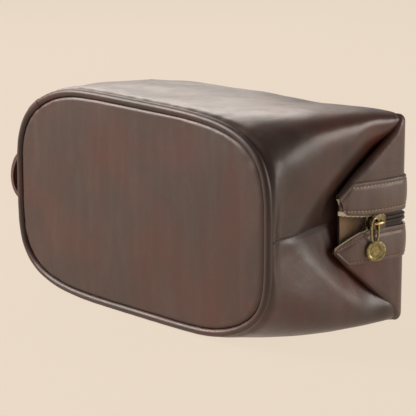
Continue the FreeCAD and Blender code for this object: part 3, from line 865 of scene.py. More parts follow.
    def build_base(self) -> None:
        """The oval base, domed over its board and drawn in at its seam."""
        rings = 1.0 - np.linspace(1.0, 0.0, 60) ** 1.6
        turns = np.linspace(0.0, 2 * math.pi, 361)
        inset = self.piping_radius * 1.82
        across, up = squircle(PLACE.half_length - inset, PLACE.half_width - inset, self.base_power, turns)
        points = np.empty((len(rings), len(turns), 3))
        points[..., 0] = rings[:, None] * across
        points[..., 2] = rings[:, None] * up + PLACE.mid_z
        rim_share, rim_depth, dome_high, sunk = 0.038, 2.6 * MM, 0.5 * MM, 0.9 * MM
        beyond = np.clip((rings - 1.0 + rim_share) / rim_share, 0.0, 1.0)
        rim_drop = rim_depth * (1 - np.sqrt(1 - 0.98 * beyond ** 2))
        dome = dome_high * (1 - rings ** 2)
        points[..., 1] = PLACE.base_y + sunk - dome[:, None] + rim_drop[:, None]
        soft = wobble(points, 55 * MM, 0.8 * MM, 11.0) * (1 - rings[:, None] ** 6)
        pucker = wobble(points, 7 * MM, 0.35 * MM, 13.0) * np.exp(-((1 - rings[:, None]) / 0.06) ** 2)
        points[..., 1] += soft + pucker
        mesh = sheet(settle(points), self.leather, flip=True)
        base = publish("leather_base", mesh, self.finishes.base)
        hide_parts("base_panel")
        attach(base, "shell")

    def build_insole(self, node: str, name: str, finish: bpy.types.Material) -> None:
        """A flat oval layer on the inside of the base, in place of a node.

        Args:
            node: The node that gives its height and thickness.
            name: The piece's name.
            finish: Its material.
        """
        low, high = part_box(node)
        turns = np.linspace(0.0, 2 * math.pi, 121)
        rings = np.linspace(0.0, 1.0, 12)
        inset = PLACE.half_length - high.x + self.leather
        across, up = squircle(PLACE.half_length - inset, PLACE.half_width - inset, self.base_power, turns)
        points = np.empty((len(rings), len(turns), 3))
        points[..., 0] = rings[:, None] * across
        above_base = 0.8 * MM
        points[..., 1] = high.y + above_base
        points[..., 2] = rings[:, None] * up + PLACE.mid_z
        layer = publish(name, sheet(settle(points), high.y - low.y), finish)
        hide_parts(node)
        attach(layer, "shell")

    def piping_path(self) -> Points:
        """The line around the base that the piping follows, at even distances."""
        turns = np.linspace(0.0, 2 * math.pi, 3000)
        across, up = squircle(PLACE.half_length - self.piping_radius * 0.9,
                              PLACE.half_width - self.piping_radius * 0.9, self.base_power, turns)
        line = even_points(np.stack([across, up], axis=1), 481)[:-1]
        height = np.full(len(line), PLACE.base_y + self.piping_radius * 0.95)
        return settle(np.stack([line[:, 0], height, line[:, 1] + PLACE.mid_z], axis=1))

    def build_piping(self) -> None:
        """The corded edge around the base, a little uneven, with a wrapped joint at one corner."""
        path = self.piping_path()
        uneven = np.array([noise.noise(Vector(place) / (9 * MM)) for place in path])
        radius = self.piping_radius * (1 + 0.05 * uneven)
        mesh = tube(path, radius, around=14, closed=True)
        piping = publish("leather_piping", mesh, self.finishes.piping)
        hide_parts("base_piping", "piping_cord")
        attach(piping, "shell")
        joint_at = [-118 * MM, PLACE.mid_z + 66 * MM]
        corner = int(np.argmin(np.linalg.norm(path[:, [0, 2]] - joint_at, axis=1)))
        wrap = path[corner - 4:corner + 5]
        mesh = tube(wrap, self.piping_radius * 1.1, around=14)
        joint = publish("piping_joint", mesh, self.finishes.piping)
        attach(joint, "shell")

    def build_end_seams(self) -> None:
        """The sewn seam up the middle of each end: a dark tube along it, painted shade of the seam's valley,
        and the thread that shows near the base.
        """
        for end, line in self.seam_lines.items():
            height = line[:, 1] - PLACE.base_y
            lowest, highest = 5 * MM, 74 * MM
            line = even_points(line[(height > lowest) & (height < highest)], 60)
            # painted shade: a near-black tube along the seam's valley stands for the shadow in it
            crease = publish(f"{end.word}_end_seam_line", tube(line, self.seam_line, around=8),
                             self.finishes.dark_thread)
            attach(crease, "shell")
            near_base = line[:10] + (0.6 * self.seam_line * end.value, 0.0, 0.0)
            knots = stitches_along(near_base, Thread(long=1.9 * MM, radius=0.32 * MM))
            seam = publish(f"{end.word}_end_seam_thread", knots, self.finishes.rust_thread)
            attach(seam, "shell")


def thread_row(places: Points, along: Any, length: float, radius: float) -> bmesh.types.BMesh:
    """Stitches as small plump beads of thread.

    Args:
        places: The stitches' middles.
        along: One direction, or one for each stitch.
        length: Length of a stitch.
        radius: Half the thread's thickness.

    Returns:
        The stitches as one mesh.
    """
    directions = np.broadcast_to(np.asarray(along, dtype=float), places.shape)
    mesh = bmesh.new()
    for place, direction in zip(places, directions):
        turned = Vector(direction).to_track_quat("Z", "Y").to_matrix().to_4x4()
        plump = Matrix.Diagonal((radius, radius, length / 2, 1.0))
        shape = Matrix.Translation(Vector(place)) @ turned @ plump
        bmesh.ops.create_icosphere(mesh, subdivisions=1, radius=1.0, matrix=shape)
    return mesh


@dataclass(frozen=True)
class Thread:
    """A row of stitches: its pitch, the length of a stitch and half the thread's thickness."""

    pitch: float = 2.8 * MM
    long: float = 2.1 * MM
    radius: float = 0.36 * MM


def stitches_along(line: Points, thread: Thread) -> bmesh.types.BMesh:
    """Stitches at an even pitch along a line."""
    long = float(np.linalg.norm(np.diff(line, axis=0), axis=1).sum())
    count = max(3, round(long / thread.pitch))
    places = even_points(line, count)
    return thread_row(places, np.gradient(places, axis=0), thread.long, thread.radius)


# ---- top and flaps ---------------------------------------------------------------------------------------


@dataclass
class Strip:
    """The path that the leather follows from the top, around the fold and down to the flap's tip."""

    lean: float = 5.0 * MM

    def place(self, run: Any) -> tuple[Points, Points, Points, Points]:
        """Where a distance along the strip lies.

        Args:
            run: Distance from the top cut, in metres.

        Returns:
            Across, up, and the outward direction's across and up, at a right end.
        """
        run = np.asarray(run, dtype=float)
        flat = PLACE.fold_x - PLACE.top_cut
        turn = np.clip((run - flat) / PLACE.fold_radius, 0.0, math.pi / 2)
        level = np.minimum(run - flat, 0.0)
        drop = np.maximum(run - flat - PLACE.fold_arc, 0.0)
        share = np.clip(drop / PLACE.flap_long, 0.0, 1.1)
        across = PLACE.fold_x + level + PLACE.fold_radius * np.sin(turn) - self.lean * share ** 2
        up = PLACE.fold_y + PLACE.fold_radius * np.cos(turn) - drop
        return across, up, np.sin(turn), np.cos(turn)

    def drop(self, run: Any) -> Points:
        """Distance below the fold; below zero on the top and around the fold."""
        return np.asarray(run) - (PLACE.fold_x - PLACE.top_cut) - PLACE.fold_arc

    @property
    def long(self) -> float:
        """Length from the top cut to the tip."""
        return PLACE.fold_x - PLACE.top_cut + PLACE.fold_arc + PLACE.flap_long


STRIP = Strip()


@dataclass
class Flap:
    """One end's V flap: two leather panels that run on from the top, folded down, with rolled edges."""

    finishes: Finishes
    end: End
    leather: float = 1.8 * MM
    strip_leather: float = 1.2 * MM
    facing_lift: float = 1.5 * MM
    pillow: float = 1.1 * MM  # how far a strip swells between its rows of stitches
    stitch_sink: float = 0.55 * MM
    tip_flare: dict[Side, float] = field(default_factory=lambda: {Side.FRONT: 4 * MM, Side.BACK: 10 * MM})
    zip_edge: float = 5.2 * MM
    strip_wide: float = 28.5 * MM
    tip_slant: float = 5.0 * MM  # how much longer the front strip's outer edge is than its inner one
    under_lap: float = 1.5 * MM  # how far inside the strip's edge the panel stops
    fold_corner: float = 5.2 * MM  # radius of the panel's outer edge around the fold
    fold_tail: float = 0.3 * MM  # leather past that edge, around the fold and on the top
    top_tail: float = 10.0 * MM
    roll: tuple[float, float] = (4.4 * MM, 1.5 * MM)  # the V edge's rolled radius, at the fold and the tip
    roll_tail: tuple[float, float] = (7.0 * MM, 2.0 * MM)  # leather turned under past the roll
    underlay_depth: float = 6.6 * MM
    lining_depth: float = 5.5 * MM
    inner_stop: float = 8.0 * MM  # how far short of the tip the inner layers and the tape end
    thread: Thread = Thread()

    def to_end(self, points: Points) -> Points:
        """Mirrors points made for the right end to this end, and settles them with the rest of the bag."""
        points = points.copy()
        points[..., 0] *= self.end.value
        return settle(points)

    def flips(self, side: Side) -> bool:
        """True where the side and the end together turn the faces inwards."""
        return side.value * self.end.value < 0

    def flare(self, side: Side, run: Points) -> Points:
        """How far the zip's edge spreads from its line between the slider and the tip."""
        above_slider = 4 * MM
        start = PLACE.fold_y - PLACE.slider_low - above_slider
        share = (STRIP.drop(run) - start) / (PLACE.flap_long - start)
        return self.tip_flare[side] * ease(share * 0.5) * 2

    def section(self, side: Side, run: float, count: int = 40) -> Points:
        """Across and depth of the flap from the zip's edge out to its rolled V edge.

        Args:
            side: Front or back panel.
            run: Distance along the strip.
            count: Number of points wanted.

        Returns:
            Across and depth, one point per row.
        """
        drop = float(STRIP.drop(run))
        # each share runs from 0 to 1 as the section passes one stretch of the strip
        narrow = float(ease((drop + 6 * MM) / (12 * MM)))
        wide = between(PLACE.rim_half(side) + 0.7 * MM, float(PLACE.flap_half(side, drop)), narrow)
        rolled = float(ease((drop + 4 * MM) / (14 * MM)))
        on_top = 1.0 - float(ease((drop + 20 * MM) / (12 * MM)))
        slim = float(ease((drop - 30 * MM) / (20 * MM)))
        corner = between(self.fold_corner, PLACE.fold_radius, on_top)
        radius = between(corner, between(*self.roll, slim), rolled)
        angle = between(math.radians(90 + 5 * on_top), math.pi, rolled)
        straight = between(self.fold_tail, self.top_tail, on_top)
        tail = between(straight, between(*self.roll_tail, slim), rolled)
        inner = self.zip_edge + float(self.flare(side, run)) + self.under_lap
        flat = np.linspace([inner, 0.0], [wide - radius, 0.0], 30)
        turns = np.linspace(0.0, angle, 14)[1:]
        arc = np.stack([wide - radius + radius * np.sin(turns), radius * (1 - np.cos(turns))], axis=1)
        away = np.array([math.cos(angle), math.sin(angle)])
        ending = arc[-1] + away * np.linspace(0.0, tail, 6)[1:, None]
        line = np.concatenate([flat, arc, ending])
        return even_points(line, count)

    def surface(self, side: Side, runs: Points, line_of: Callable[[float], Points]) -> Points:
        """Sweeps a section along the strip.

        Args:
            side: Front or back.
            runs: Distances along the strip.
            line_of: Gives across and depth points at a distance.

        Returns:
            Rows by columns by 3 places, at a right end.
        """
        across, up, out_x, out_y = STRIP.place(runs)
        rows = []
        for index, run in enumerate(runs):
            line = line_of(float(run))
            row = np.empty((len(line), 3))
            row[:, 0] = across[index] - out_x[index] * line[:, 1]
            row[:, 1] = up[index] - out_y[index] * line[:, 1]
            row[:, 2] = PLACE.mid_z + side.value * line[:, 0]
            rows.append(row)
        return np.array(rows)

    def build(self) -> None:
        """Builds the panels, facings, underlay and lining of this end."""
        for side in Side:
            self.build_panel(side)
            self.build_facing(side)
            self.build_raw_edge(side)
        self.build_underlay()

    def runs(self, stop: float, spacing: float = 1.3 * MM) -> Points:
        """Even distances along the strip from the top cut to a stop."""
        return np.linspace(0.0, stop, round(stop / spacing))

    def build_panel(self, side: Side) -> None:
        """One leather panel, from the top over the fold, with its V edge rolled under."""
        runs = self.runs(STRIP.long - (3 * MM if side is Side.FRONT else 0.0))
        points = self.surface(side, runs, lambda run: self.section(side, run))
        below = ease(STRIP.drop(runs) / (15 * MM))[:, None]
        points[..., 0] += wobble(points, 22 * MM, 1.4 * MM, 21.0) * below
        mesh = sheet(self.to_end(points), self.leather, flip=self.flips(side))
        name = f"{self.end.word}_flap_{side.word}_leather"
        panel = publish(name, mesh, self.finishes.flap)
        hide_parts(f"{self.end.word}_flap_panel_{side.word}", f"{self.end.word}_edge_fold")
        ride_flap(panel)

    def facing_edges(self, side: Side, run: float) -> tuple[float, float]:
        """Inner and outer distance of a facing from the zip's line."""
        drop = float(STRIP.drop(run))
        inner = self.zip_edge + float(self.flare(side, run))
        outer = min(self.strip_wide, float(PLACE.flap_half(side, drop)) - 0.6 * MM)
        return inner, max(outer, inner + 2 * MM)

    def facing_line(self, side: Side, run: float, count: int = 30) -> Points:
        """Pillowed cross-section of a facing: it dips at both stitch rows and swells between them."""
        inner, outer = self.facing_edges(side, run)
        share = np.linspace(0.0, 1.0, count)
        across = between(inner, outer, share)
        wide = outer - inner
        full_at = 18 * MM
        lift = self.facing_lift + self.pillow * np.sin(math.pi * share) ** 0.8 * min(1.0, wide / full_at)
        for row in (3.2 * MM, wide - 2.8 * MM):
            lift -= self.stitch_sink * np.exp(-((across - inner - row) / (1.1 * MM)) ** 2)
        lift -= (self.facing_lift - 0.3 * MM) * np.clip(1 - (outer - across) / (1.2 * MM), 0, 1) ** 2
        return np.stack([across, -lift], axis=1)

    def facing_stop(self, side: Side) -> float:
        """Distance along the strip where a facing ends."""
        return STRIP.long - (1.0 * MM if side is Side.BACK else 2.0 * MM)

    def build_facing(self, side: Side) -> None:
        """The leather strip along the zip, with its rows of stitches."""
        stop = self.facing_stop(side)
        runs = self.runs(stop)
        points = self.surface(side, runs, lambda run: self.facing_line(side, run))
        if side is Side.FRONT:
            slant_over = 8 * MM
            slant = ease((runs - stop + slant_over) / slant_over)[:, None]
            width = np.linspace(1.0, 0.0, points.shape[1])[None, :]
            points[..., 1] += self.tip_slant * slant * width
        below = ease(STRIP.drop(runs) / (12 * MM))[:, None]
        points[..., 0] += wobble(points, 16 * MM, 0.8 * MM, 31.0) * below
        mesh = sheet(self.to_end(points), self.strip_leather, flip=self.flips(side))
        name = f"{self.end.word}_flap_{side.word}_strip"
        facing = publish(name, mesh, self.finishes.top)
        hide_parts(f"{self.end.word}_flap_facing_{side.word}")
        ride_flap(facing)
        thread = self.finishes.gold_thread if side is Side.FRONT else self.finishes.rust_thread
        for label, column in (("inner", 4), ("outer", points.shape[1] - 5)):
            line = self.to_end(points[:, column]) + self.outward(runs) * 0.3 * MM
            keep = line if label == "inner" else line[:-8]
            row = stitches_along(keep, self.thread)
            ride_flap(publish(f"{name}_{label}_stitches", row, thread))

    def outward(self, runs: Points) -> Points:
        """Outward directions at distances along the strip, for this end."""
        _, _, out_x, out_y = STRIP.place(runs)
        return np.stack([out_x * self.end.value, out_y, np.zeros(len(runs))], axis=1)

    def build_raw_edge(self, side: Side) -> None:
        """The pale frayed edge of the backing that shows along the zip and across the tip."""
        self.build_frayed_side(side)
        self.build_frayed_tip(side)

    def build_frayed_side(self, side: Side) -> None:
        """The frayed edge along the zip, near the tip."""
        def line_of(run: float) -> Points:
            """Cross-section of the backing where it shows past the strip."""
            inner, _ = self.facing_edges(side, run)
            rag = noise.noise(Vector((run / (1.6 * MM), side.value * 3.0, 0.0)))
            across = np.linspace(inner - (0.9 + 0.5 * rag) * MM, inner + 2 * MM, 5)
            return np.stack([across, np.full(5, -0.4 * MM)], axis=1)

        stop = self.facing_stop(side)
        points = self.surface(side, np.linspace(STRIP.long - 30 * MM, stop, 70), line_of)
        mesh = sheet(self.to_end(points), 0.7 * MM, flip=self.flips(side))
        piece = publish(f"{self.end.word}_flap_{side.word}_raw_edge", mesh, self.finishes.raw)
        ride_flap(piece)

    def build_frayed_tip(self, side: Side) -> None:
        """The frayed edge across the end of the strip."""
        count = 40
        stop = self.facing_stop(side)
        inner, outer = self.facing_edges(side, stop)
        across = np.linspace(inner - 0.5 * MM, outer - 1 * MM, count)
        ragged = np.array([noise.noise(Vector((0.0, place / (1.5 * MM), 4.0))) for place in across])
        slant = np.linspace(self.tip_slant, 0.0, count) if side is Side.FRONT else np.zeros(count)
        tip = np.empty((5, count, 3))
        for index, reach in enumerate(np.linspace(-2.0, 1.0, 5)):
            extra = (reach + ragged * 0.45 * (index > 1)) * MM
            across_x, up, _, _ = STRIP.place(stop + extra)
            tip[index, :, 0] = across_x + 0.3 * MM
            tip[index, :, 1] = up + slant
            tip[index, :, 2] = PLACE.mid_z + side.value * across
        mesh = sheet(self.to_end(tip), 0.8 * MM, flip=self.flips(side))
        piece = publish(f"{self.end.word}_flap_{side.word}_raw_tip", mesh, self.finishes.raw)
        ride_flap(piece)

    def whole_width(self, run: float, depth: float, spare: float) -> Points:
        """A flat section from the back V edge to the front one, at a depth and short of both edges."""
        drop = float(STRIP.drop(run))
        low = -float(PLACE.flap_half(Side.BACK, drop)) + spare
        high = float(PLACE.flap_half(Side.FRONT, drop)) - spare
        across = np.linspace(low, high, 50)
        return np.stack([across, np.full(50, depth)], axis=1)

    def build_underlay(self) -> None:
        """The leather under the flap, and the tan lining that shows where the zip spreads."""
        runs = np.linspace(PLACE.fold_x - PLACE.top_cut + 4 * MM, STRIP.long - self.inner_stop, 44)
        points = self.surface(Side.FRONT, runs,
                              lambda run: self.whole_width(run, self.underlay_depth, 4 * MM))
        mesh = sheet(self.to_end(points), self.strip_leather, flip=self.end is End.LEFT)
        under = publish(f"{self.end.word}_flap_underside", mesh, self.finishes.flesh)
        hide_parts(f"{self.end.word}_flap_underlay")
        ride_flap(under)
        points = self.surface(Side.FRONT, runs,
                              lambda run: self.whole_width(run, self.lining_depth, 5 * MM))
        points[..., 0] += wobble(points, 9 * MM, 0.5 * MM, 41.0)
        mesh = sheet(self.to_end(points), 0.6 * MM, flip=self.end is End.LEFT)
        lining = publish(f"{self.end.word}_flap_lining", mesh, self.finishes.lining)
        ride_flap(lining)


@dataclass
class Top:
    """The two halves of the top: leather panels and the stitched strips that carry the zip."""

    finishes: Finishes
    columns: int = 84
    edge_turn: float = 0.5  # how far the panel follows the long fold, in radians
    under_wall: float = 0.35 * MM  # how far it dips under the wall's leather there

    def build(self) -> None:
        """Builds both sides, each in two halves that meet in the middle."""
        for end in End:
            for side in Side:
                self.build_half(end, side)

    def grid(self, end: End, side: Side, line: Points) -> Points:
        """Sweeps a section straight along the top.

        Args:
            end: The half that it covers.
            side: Front or back.
            line: Across and depth points.

        Returns:
            Rows by columns by 3 places.
        """
        places = np.linspace(0.0, PLACE.top_cut, self.columns)
        points = np.empty((len(places), len(line), 3))
        points[..., 0] = places[:, None] * end.value
        points[..., 1] = PLACE.top_y - line[:, 1]
        points[..., 2] = PLACE.mid_z + side.value * line[:, 0]
        return settle(points)

    def build_half(self, end: End, side: Side) -> None:
        """The panel, strip, stitches and lining of one half of one side."""
        flap = Flap(self.finishes, end)
        name = f"top_{side.word}_{end.word}"
        flip = flap.flips(side)
        flat_end = PLACE.rim_half(side) - PLACE.fold_radius
        flat = np.linspace([flap.zip_edge + flap.under_lap, 0.0], [flat_end, 0.0], 24)
        turns = np.linspace(0.0, self.edge_turn, 5)[1:]
        arc = np.stack([flat_end + PLACE.fold_radius * np.sin(turns),
                        PLACE.fold_radius * (1 - np.cos(turns)) + self.under_wall], axis=1)
        points = self.grid(end, side, np.concatenate([flat, arc]))
        points[..., 1] += wobble(points, 40 * MM, 1.2 * MM, 17.0) * 0.5
        panel = publish(f"{name}_leather", sheet(points, flap.leather, flip), self.finishes.walls)
        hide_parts(f"top_panel_{side.word}")
        ride_top(panel)
        points = self.grid(end, side, flap.facing_line(side, 0.0))
        mesh = sheet(points, flap.strip_leather, flip)
        strip = publish(f"{name}_strip", mesh, self.finishes.top)
        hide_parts(f"top_facing_{side.word}")
        ride_top(strip)
        thread = self.finishes.gold_thread if side is Side.FRONT else self.finishes.rust_thread
        for label, column in (("inner", 4), ("outer", points.shape[1] - 5)):
            row = stitches_along(points[:, column] + (0, 0.3 * MM, 0), flap.thread)
            ride_top(publish(f"{name}_{label}_stitches", row, thread))
        self.build_lining(flap, side, panel, flat_end)

    def build_lining(self, flap: Flap, side: Side, panel: bpy.types.Object, flat_end: float) -> None:
        """The lining under one half of one side.

        Args:
            flap: The flap at the same end.
            side: Front or back.
            panel: The leather that it is sewn to; not used.
            flat_end: Distance from the middle to where the fold begins.
        """
        line = np.linspace([flap.zip_edge + 4 * MM, 3.2 * MM], [flat_end, 3.6 * MM], 14)
        points = self.grid(flap.end, side, line)
        points[..., 1] += wobble(points, 14 * MM, 0.5 * MM, 19.0)
        lining = publish(f"top_{side.word}_{flap.end.word}_lining",
                         sheet(points, 0.5 * MM, not flap.flips(side)), self.finishes.lining)
        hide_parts(f"top_lining_{side.word}")
        ride_top(lining)


# ---- zip -------------------------------------------------------------------------------------------------


@dataclass
class Zip:
    """The tapes and coils along the top and down both flaps, with the end stops left as they are."""

    finishes: Finishes
    coil_low: float = 0.15 * MM  # half the gap between the two coils
    coil_wide: float = 2.5 * MM
    coil_depth: float = 0.6 * MM
    crown: float = 1.5 * MM  # how far a coil stands up
    turn_high: float = 0.32 * MM  # how far each of its turns stands over the hollows between them
    pitch: float = 1.5 * MM
    points_per_turn: int = 5
    tape_depth: float = 0.9 * MM
    tape_thick: float = 0.5 * MM

    def coil_line(self, shift: float = 0.0) -> Points:
        """Rounded cross-section of one side's coil, with the crown pushed out by shift."""
        turns = np.linspace(math.pi, 0.0, 9)
        middle = self.coil_low + self.coil_wide / 2
        across = middle + np.cos(turns) * self.coil_wide / 2
        depth = self.coil_depth - np.sin(turns) * (self.crown + shift)
        return np.stack([across, depth], axis=1)

    def scallop(self, run: Any) -> Any:
        """Height of the coil's turns at a distance."""
        return self.turn_high * np.cos(2 * math.pi * np.asarray(run) / self.pitch)

    def tape_line(self, flap: Flap, side: Side, run: float) -> Points:
        """Cross-section of one side's tape, from the coil to under the strip."""
        spread = float(flap.flare(side, run))
        apart = float(ease(spread / (1.5 * MM)))
        inner = between(self.coil_low, flap.zip_edge + spread - 0.8 * MM, apart)
        outer = flap.zip_edge + spread + 4 * MM
        return np.linspace([inner, self.tape_depth], [outer, self.tape_depth], 8)

    def build(self) -> None:
        """Builds the tapes and coils of every part of the zip."""
        for end in End:
            flap = Flap(self.finishes, end)
            top = Top(self.finishes)
            for side in Side:
                self.build_top(flap, top, side)
                self.build_flap(flap, side)
        for node in ("zip_top_stop_front", "zip_top_stop_back", "zip_bottom_stop"):
            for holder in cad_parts[node].material_slots:
                holder.link = "OBJECT"
                holder.material = self.finishes.brass

    def build_top(self, flap: Flap, top: Top, side: Side) -> None:
        """The tape and coil of one half of the top."""
        flip = flap.flips(side)
        name = f"{side.word}_{flap.end.word}"
        mesh = sheet(top.grid(flap.end, side, self.tape_line(flap, side, 0.0)), self.tape_thick, flip)
        tape = publish(f"top_tape_{name}", mesh, self.finishes.tape)
        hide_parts(f"top_tape_{side.word}")
        ride_top(tape)
        fine = Top(self.finishes, columns=round(PLACE.top_cut / self.pitch * self.points_per_turn))
        points = fine.grid(flap.end, side, self.coil_line())
        crown = np.sin(np.linspace(0.0, math.pi, points.shape[1]))
        points[..., 1] += self.scallop(np.abs(points[:, :1, 0]) - PLACE.top_cut) * crown
        coil = publish(f"top_coil_{name}", sheet(points, 0.0, flip), self.finishes.coil)
        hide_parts(f"top_coil_{side.word}")
        ride_top(coil)

    def build_flap(self, flap: Flap, side: Side) -> None:
        """The tape and coil of one side down a flap."""
        flip = flap.flips(side)
        word = flap.end.word
        runs = flap.runs(STRIP.long - flap.inner_stop)
        points = flap.surface(side, runs, lambda run: self.tape_line(flap, side, run))
        mesh = sheet(flap.to_end(points), self.tape_thick, flip)
        tape = publish(f"{word}_flap_tape_{side.word}_cloth", mesh, self.finishes.tape)
        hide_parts(f"{word}_flap_tape_{side.word}")
        ride_flap(tape)
        stop = STRIP.long - PLACE.flap_long + (PLACE.fold_y - PLACE.slider_low) - 1.5 * MM
        runs = np.linspace(0.0, stop, round(stop / self.pitch * self.points_per_turn))
        points = flap.surface(side, runs, lambda run: self.coil_line(float(self.scallop(run))))
        coil = publish(f"{word}_flap_coil_{side.word}_turns", sheet(flap.to_end(points), 0.0, flip),
                       self.finishes.coil)
        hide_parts(f"{word}_flap_coil_{side.word}")
        ride_flap(coil)


@dataclass
class Pull:
    """The slider, its bridge, the wire loop and the round medallion."""

    finishes: Finishes
    plate_thick: float = 1.5 * MM
    rail_radius: float = 0.7 * MM
    rail_depth: float = 1.7 * MM
    bar_radius: float = 1.15 * MM
    bar_inset: float = 0.6 * MM
    wire_radius: float = 0.85 * MM
    twist: float = math.radians(-24)
    beads: int = 18
    bead_radius: float = 0.45 * MM
    bead_ring: float = 0.52

    def plate(self, points: Sequence[tuple[float, float]], low: float, thick: float,
              round_by: float = 0.35 * MM) -> bmesh.types.BMesh:
        """A flat shape in the flap's plane, thickened outwards and rounded.

        Args:
            points: Up and across corners around the shape.
            low: Distance of its inner face from the middle plane.
            thick: Thickness.
            round_by: Radius of its edges.

        Returns:
            The plate's mesh.
        """
        mesh = bmesh.new()
        ring = [mesh.verts.new((low, up, across)) for up, across in points]
        face = mesh.faces.new(ring)
        moved = bmesh.ops.extrude_face_region(mesh, geom=[face])
        top = [item for item in moved["geom"] if isinstance(item, bmesh.types.BMVert)]
        bmesh.ops.translate(mesh, verts=top, vec=(thick, 0.0, 0.0))
        bmesh.ops.recalc_face_normals(mesh, faces=mesh.faces[:])
        edges = [edge for edge in mesh.edges if edge.calc_face_angle(0.0) > 0.6]
        bmesh.ops.bevel(mesh, geom=edges, offset=round_by, segments=3, profile=0.5, affect="EDGES",
                        material=-1)
        return mesh

    def build(self) -> None:
        """Builds every piece of the pull."""
        self.build_body()
        self.build_bridge()
        self.build_loop()
        self.build_medallion()

    def build_body(self) -> None:
        """The slider's two plates: a shield that narrows towards the tip, and the neck between them."""
        low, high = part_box("slider_body")
        long, wide = high.y - low.y, high.z - low.z
        shield = []
        for share, half in ((0.0, 0.28), (0.22, 0.42), (0.6, 0.5), (0.86, 0.5), (1.0, 0.34)):
            shield.append((low.y + long * share, wide * half))
        outline = [(up, PLACE.mid_z + half) for up, half in shield]
        outline += [(up, PLACE.mid_z - half) for up, half in reversed(shield)]
        for label, inner in (("outer", high.x - self.plate_thick), ("inner", low.x)):
            piece = publish(f"slider_{label}_plate", self.plate(outline, inner, self.plate_thick),
                            self.finishes.dark_brass, crease=35)
            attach(piece, "zip_slider")
            if label == "outer":
                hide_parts("slider_body")
        for word, across in (("back", -1), ("front", 1)):
            rail = np.array([(high.x - self.rail_depth, low.y + long * share,
                              PLACE.mid_z + across * wide * half * 0.96)
                             for share, half in ((0.18, 0.4), (0.4, 0.46), (0.6, 0.5), (0.86, 0.5))])
            mesh = tube(even_points(rail, 12), self.rail_radius, around=8)
            piece = publish(f"slider_{word}_rail", mesh, self.finishes.dark_brass)
            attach(piece, "zip_slider")

    def build_bridge(self) -> None:
        """The arched bar that holds the loop."""
        low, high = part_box("slider_bridge")
        _, body_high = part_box("slider_body")
        turns = np.linspace(0.0, math.pi, 15)
        middle, half = (low.y + high.y) / 2, (high.y - low.y) / 2 - self.bar_inset
        rise = high.x - body_high.x - self.bar_inset
        path = np.stack([body_high.x - 0.3 * MM + rise * np.sin(turns) ** 0.6,
                         middle + half * np.cos(turns),
                         np.full(len(turns), PLACE.mid_z)], axis=1)
        mesh = tube(path, self.bar_radius, around=10, flat=0.95)
        piece = publish("slider_bridge_bar", mesh, self.finishes.warm_brass)
        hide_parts("slider_bridge")
        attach(piece, "zip_slider")

    def build_loop(self) -> None:
        """The wire loop that hangs from the bridge, slightly waisted."""
        low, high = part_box("pull_loop")
        turns = np.linspace(0.0, 2 * math.pi, 61)[:-1]
        wire = self.wire_radius
        half_long, half_wide = (high.y - low.y) / 2 - wire, (high.z - low.z) / 2 - wire
        across, up = squircle(half_long, half_wide, 2.6, turns)
        path = np.stack([np.full(len(turns), (low.x + high.x) / 2), (low.y + high.y) / 2 + across,
                         (low.z + high.z) / 2 + up], axis=1)
        mesh = tube(path, wire, around=10, closed=True)
        piece = publish("pull_wire", mesh, self.finishes.brass)
        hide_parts("pull_loop")
        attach(piece, "zip_pull")

    def build_medallion(self) -> None:
        """A round disc with a raised rim, a beaded ring and a plain boss."""
        low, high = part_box("pull_medallion")
        radius = (high.y - low.y) / 2
        half = (high.x - low.x) / 2
        outward, upward = 1.2 * MM, 1.0 * MM
        centre = Vector(((low.x + high.x) / 2 + outward, (low.y + high.y) / 2, low.z + radius + upward))
        boss = [(0.0, 0.75), (0.18, 0.7), (0.3, 0.45), (0.62, 0.4)]
        rim = [(0.7, 0.46), (0.76, 0.95), (0.84, 1.1), (0.94, 1.0), (1.0, 0.5)]
        back = [(1.0, -0.5), (0.93, -0.9), (0.0, -0.9)]
        profile = boss + rim + back
        mesh = bmesh.new()
        verts = [mesh.verts.new((height * half, share * radius, 0.0)) for share, height in profile]
        edges = [mesh.edges.new(pair) for pair in zip(verts, verts[1:])]
        bmesh.ops.spin(mesh, geom=verts + edges, cent=(0, 0, 0), axis=(1, 0, 0), angle=2 * math.pi, steps=56)
        bmesh.ops.remove_doubles(mesh, verts=mesh.verts[:], dist=0.01 * MM)
        bmesh.ops.recalc_face_normals(mesh, faces=mesh.faces[:])
        ring = radius * self.bead_ring
        for index in range(self.beads):
            turn = 2 * math.pi * index / self.beads
            place = Matrix.Translation((half * 0.45, ring * math.cos(turn), ring * math.sin(turn)))
            bmesh.ops.create_icosphere(mesh, subdivisions=1, radius=self.bead_radius, matrix=place)
        turned = Matrix.Rotation(self.twist, 3, "Z")
        bmesh.ops.rotate(mesh, verts=mesh.verts[:], cent=(0, 0, 0), matrix=turned)
        bmesh.ops.translate(mesh, verts=mesh.verts[:], vec=centre)
        piece = publish("pull_disc", mesh, self.finishes.brass, crease=60)
        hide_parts("pull_medallion")
        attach(piece, "zip_pull")


# ---- handle ----------------------------------------------------------------------------------------------


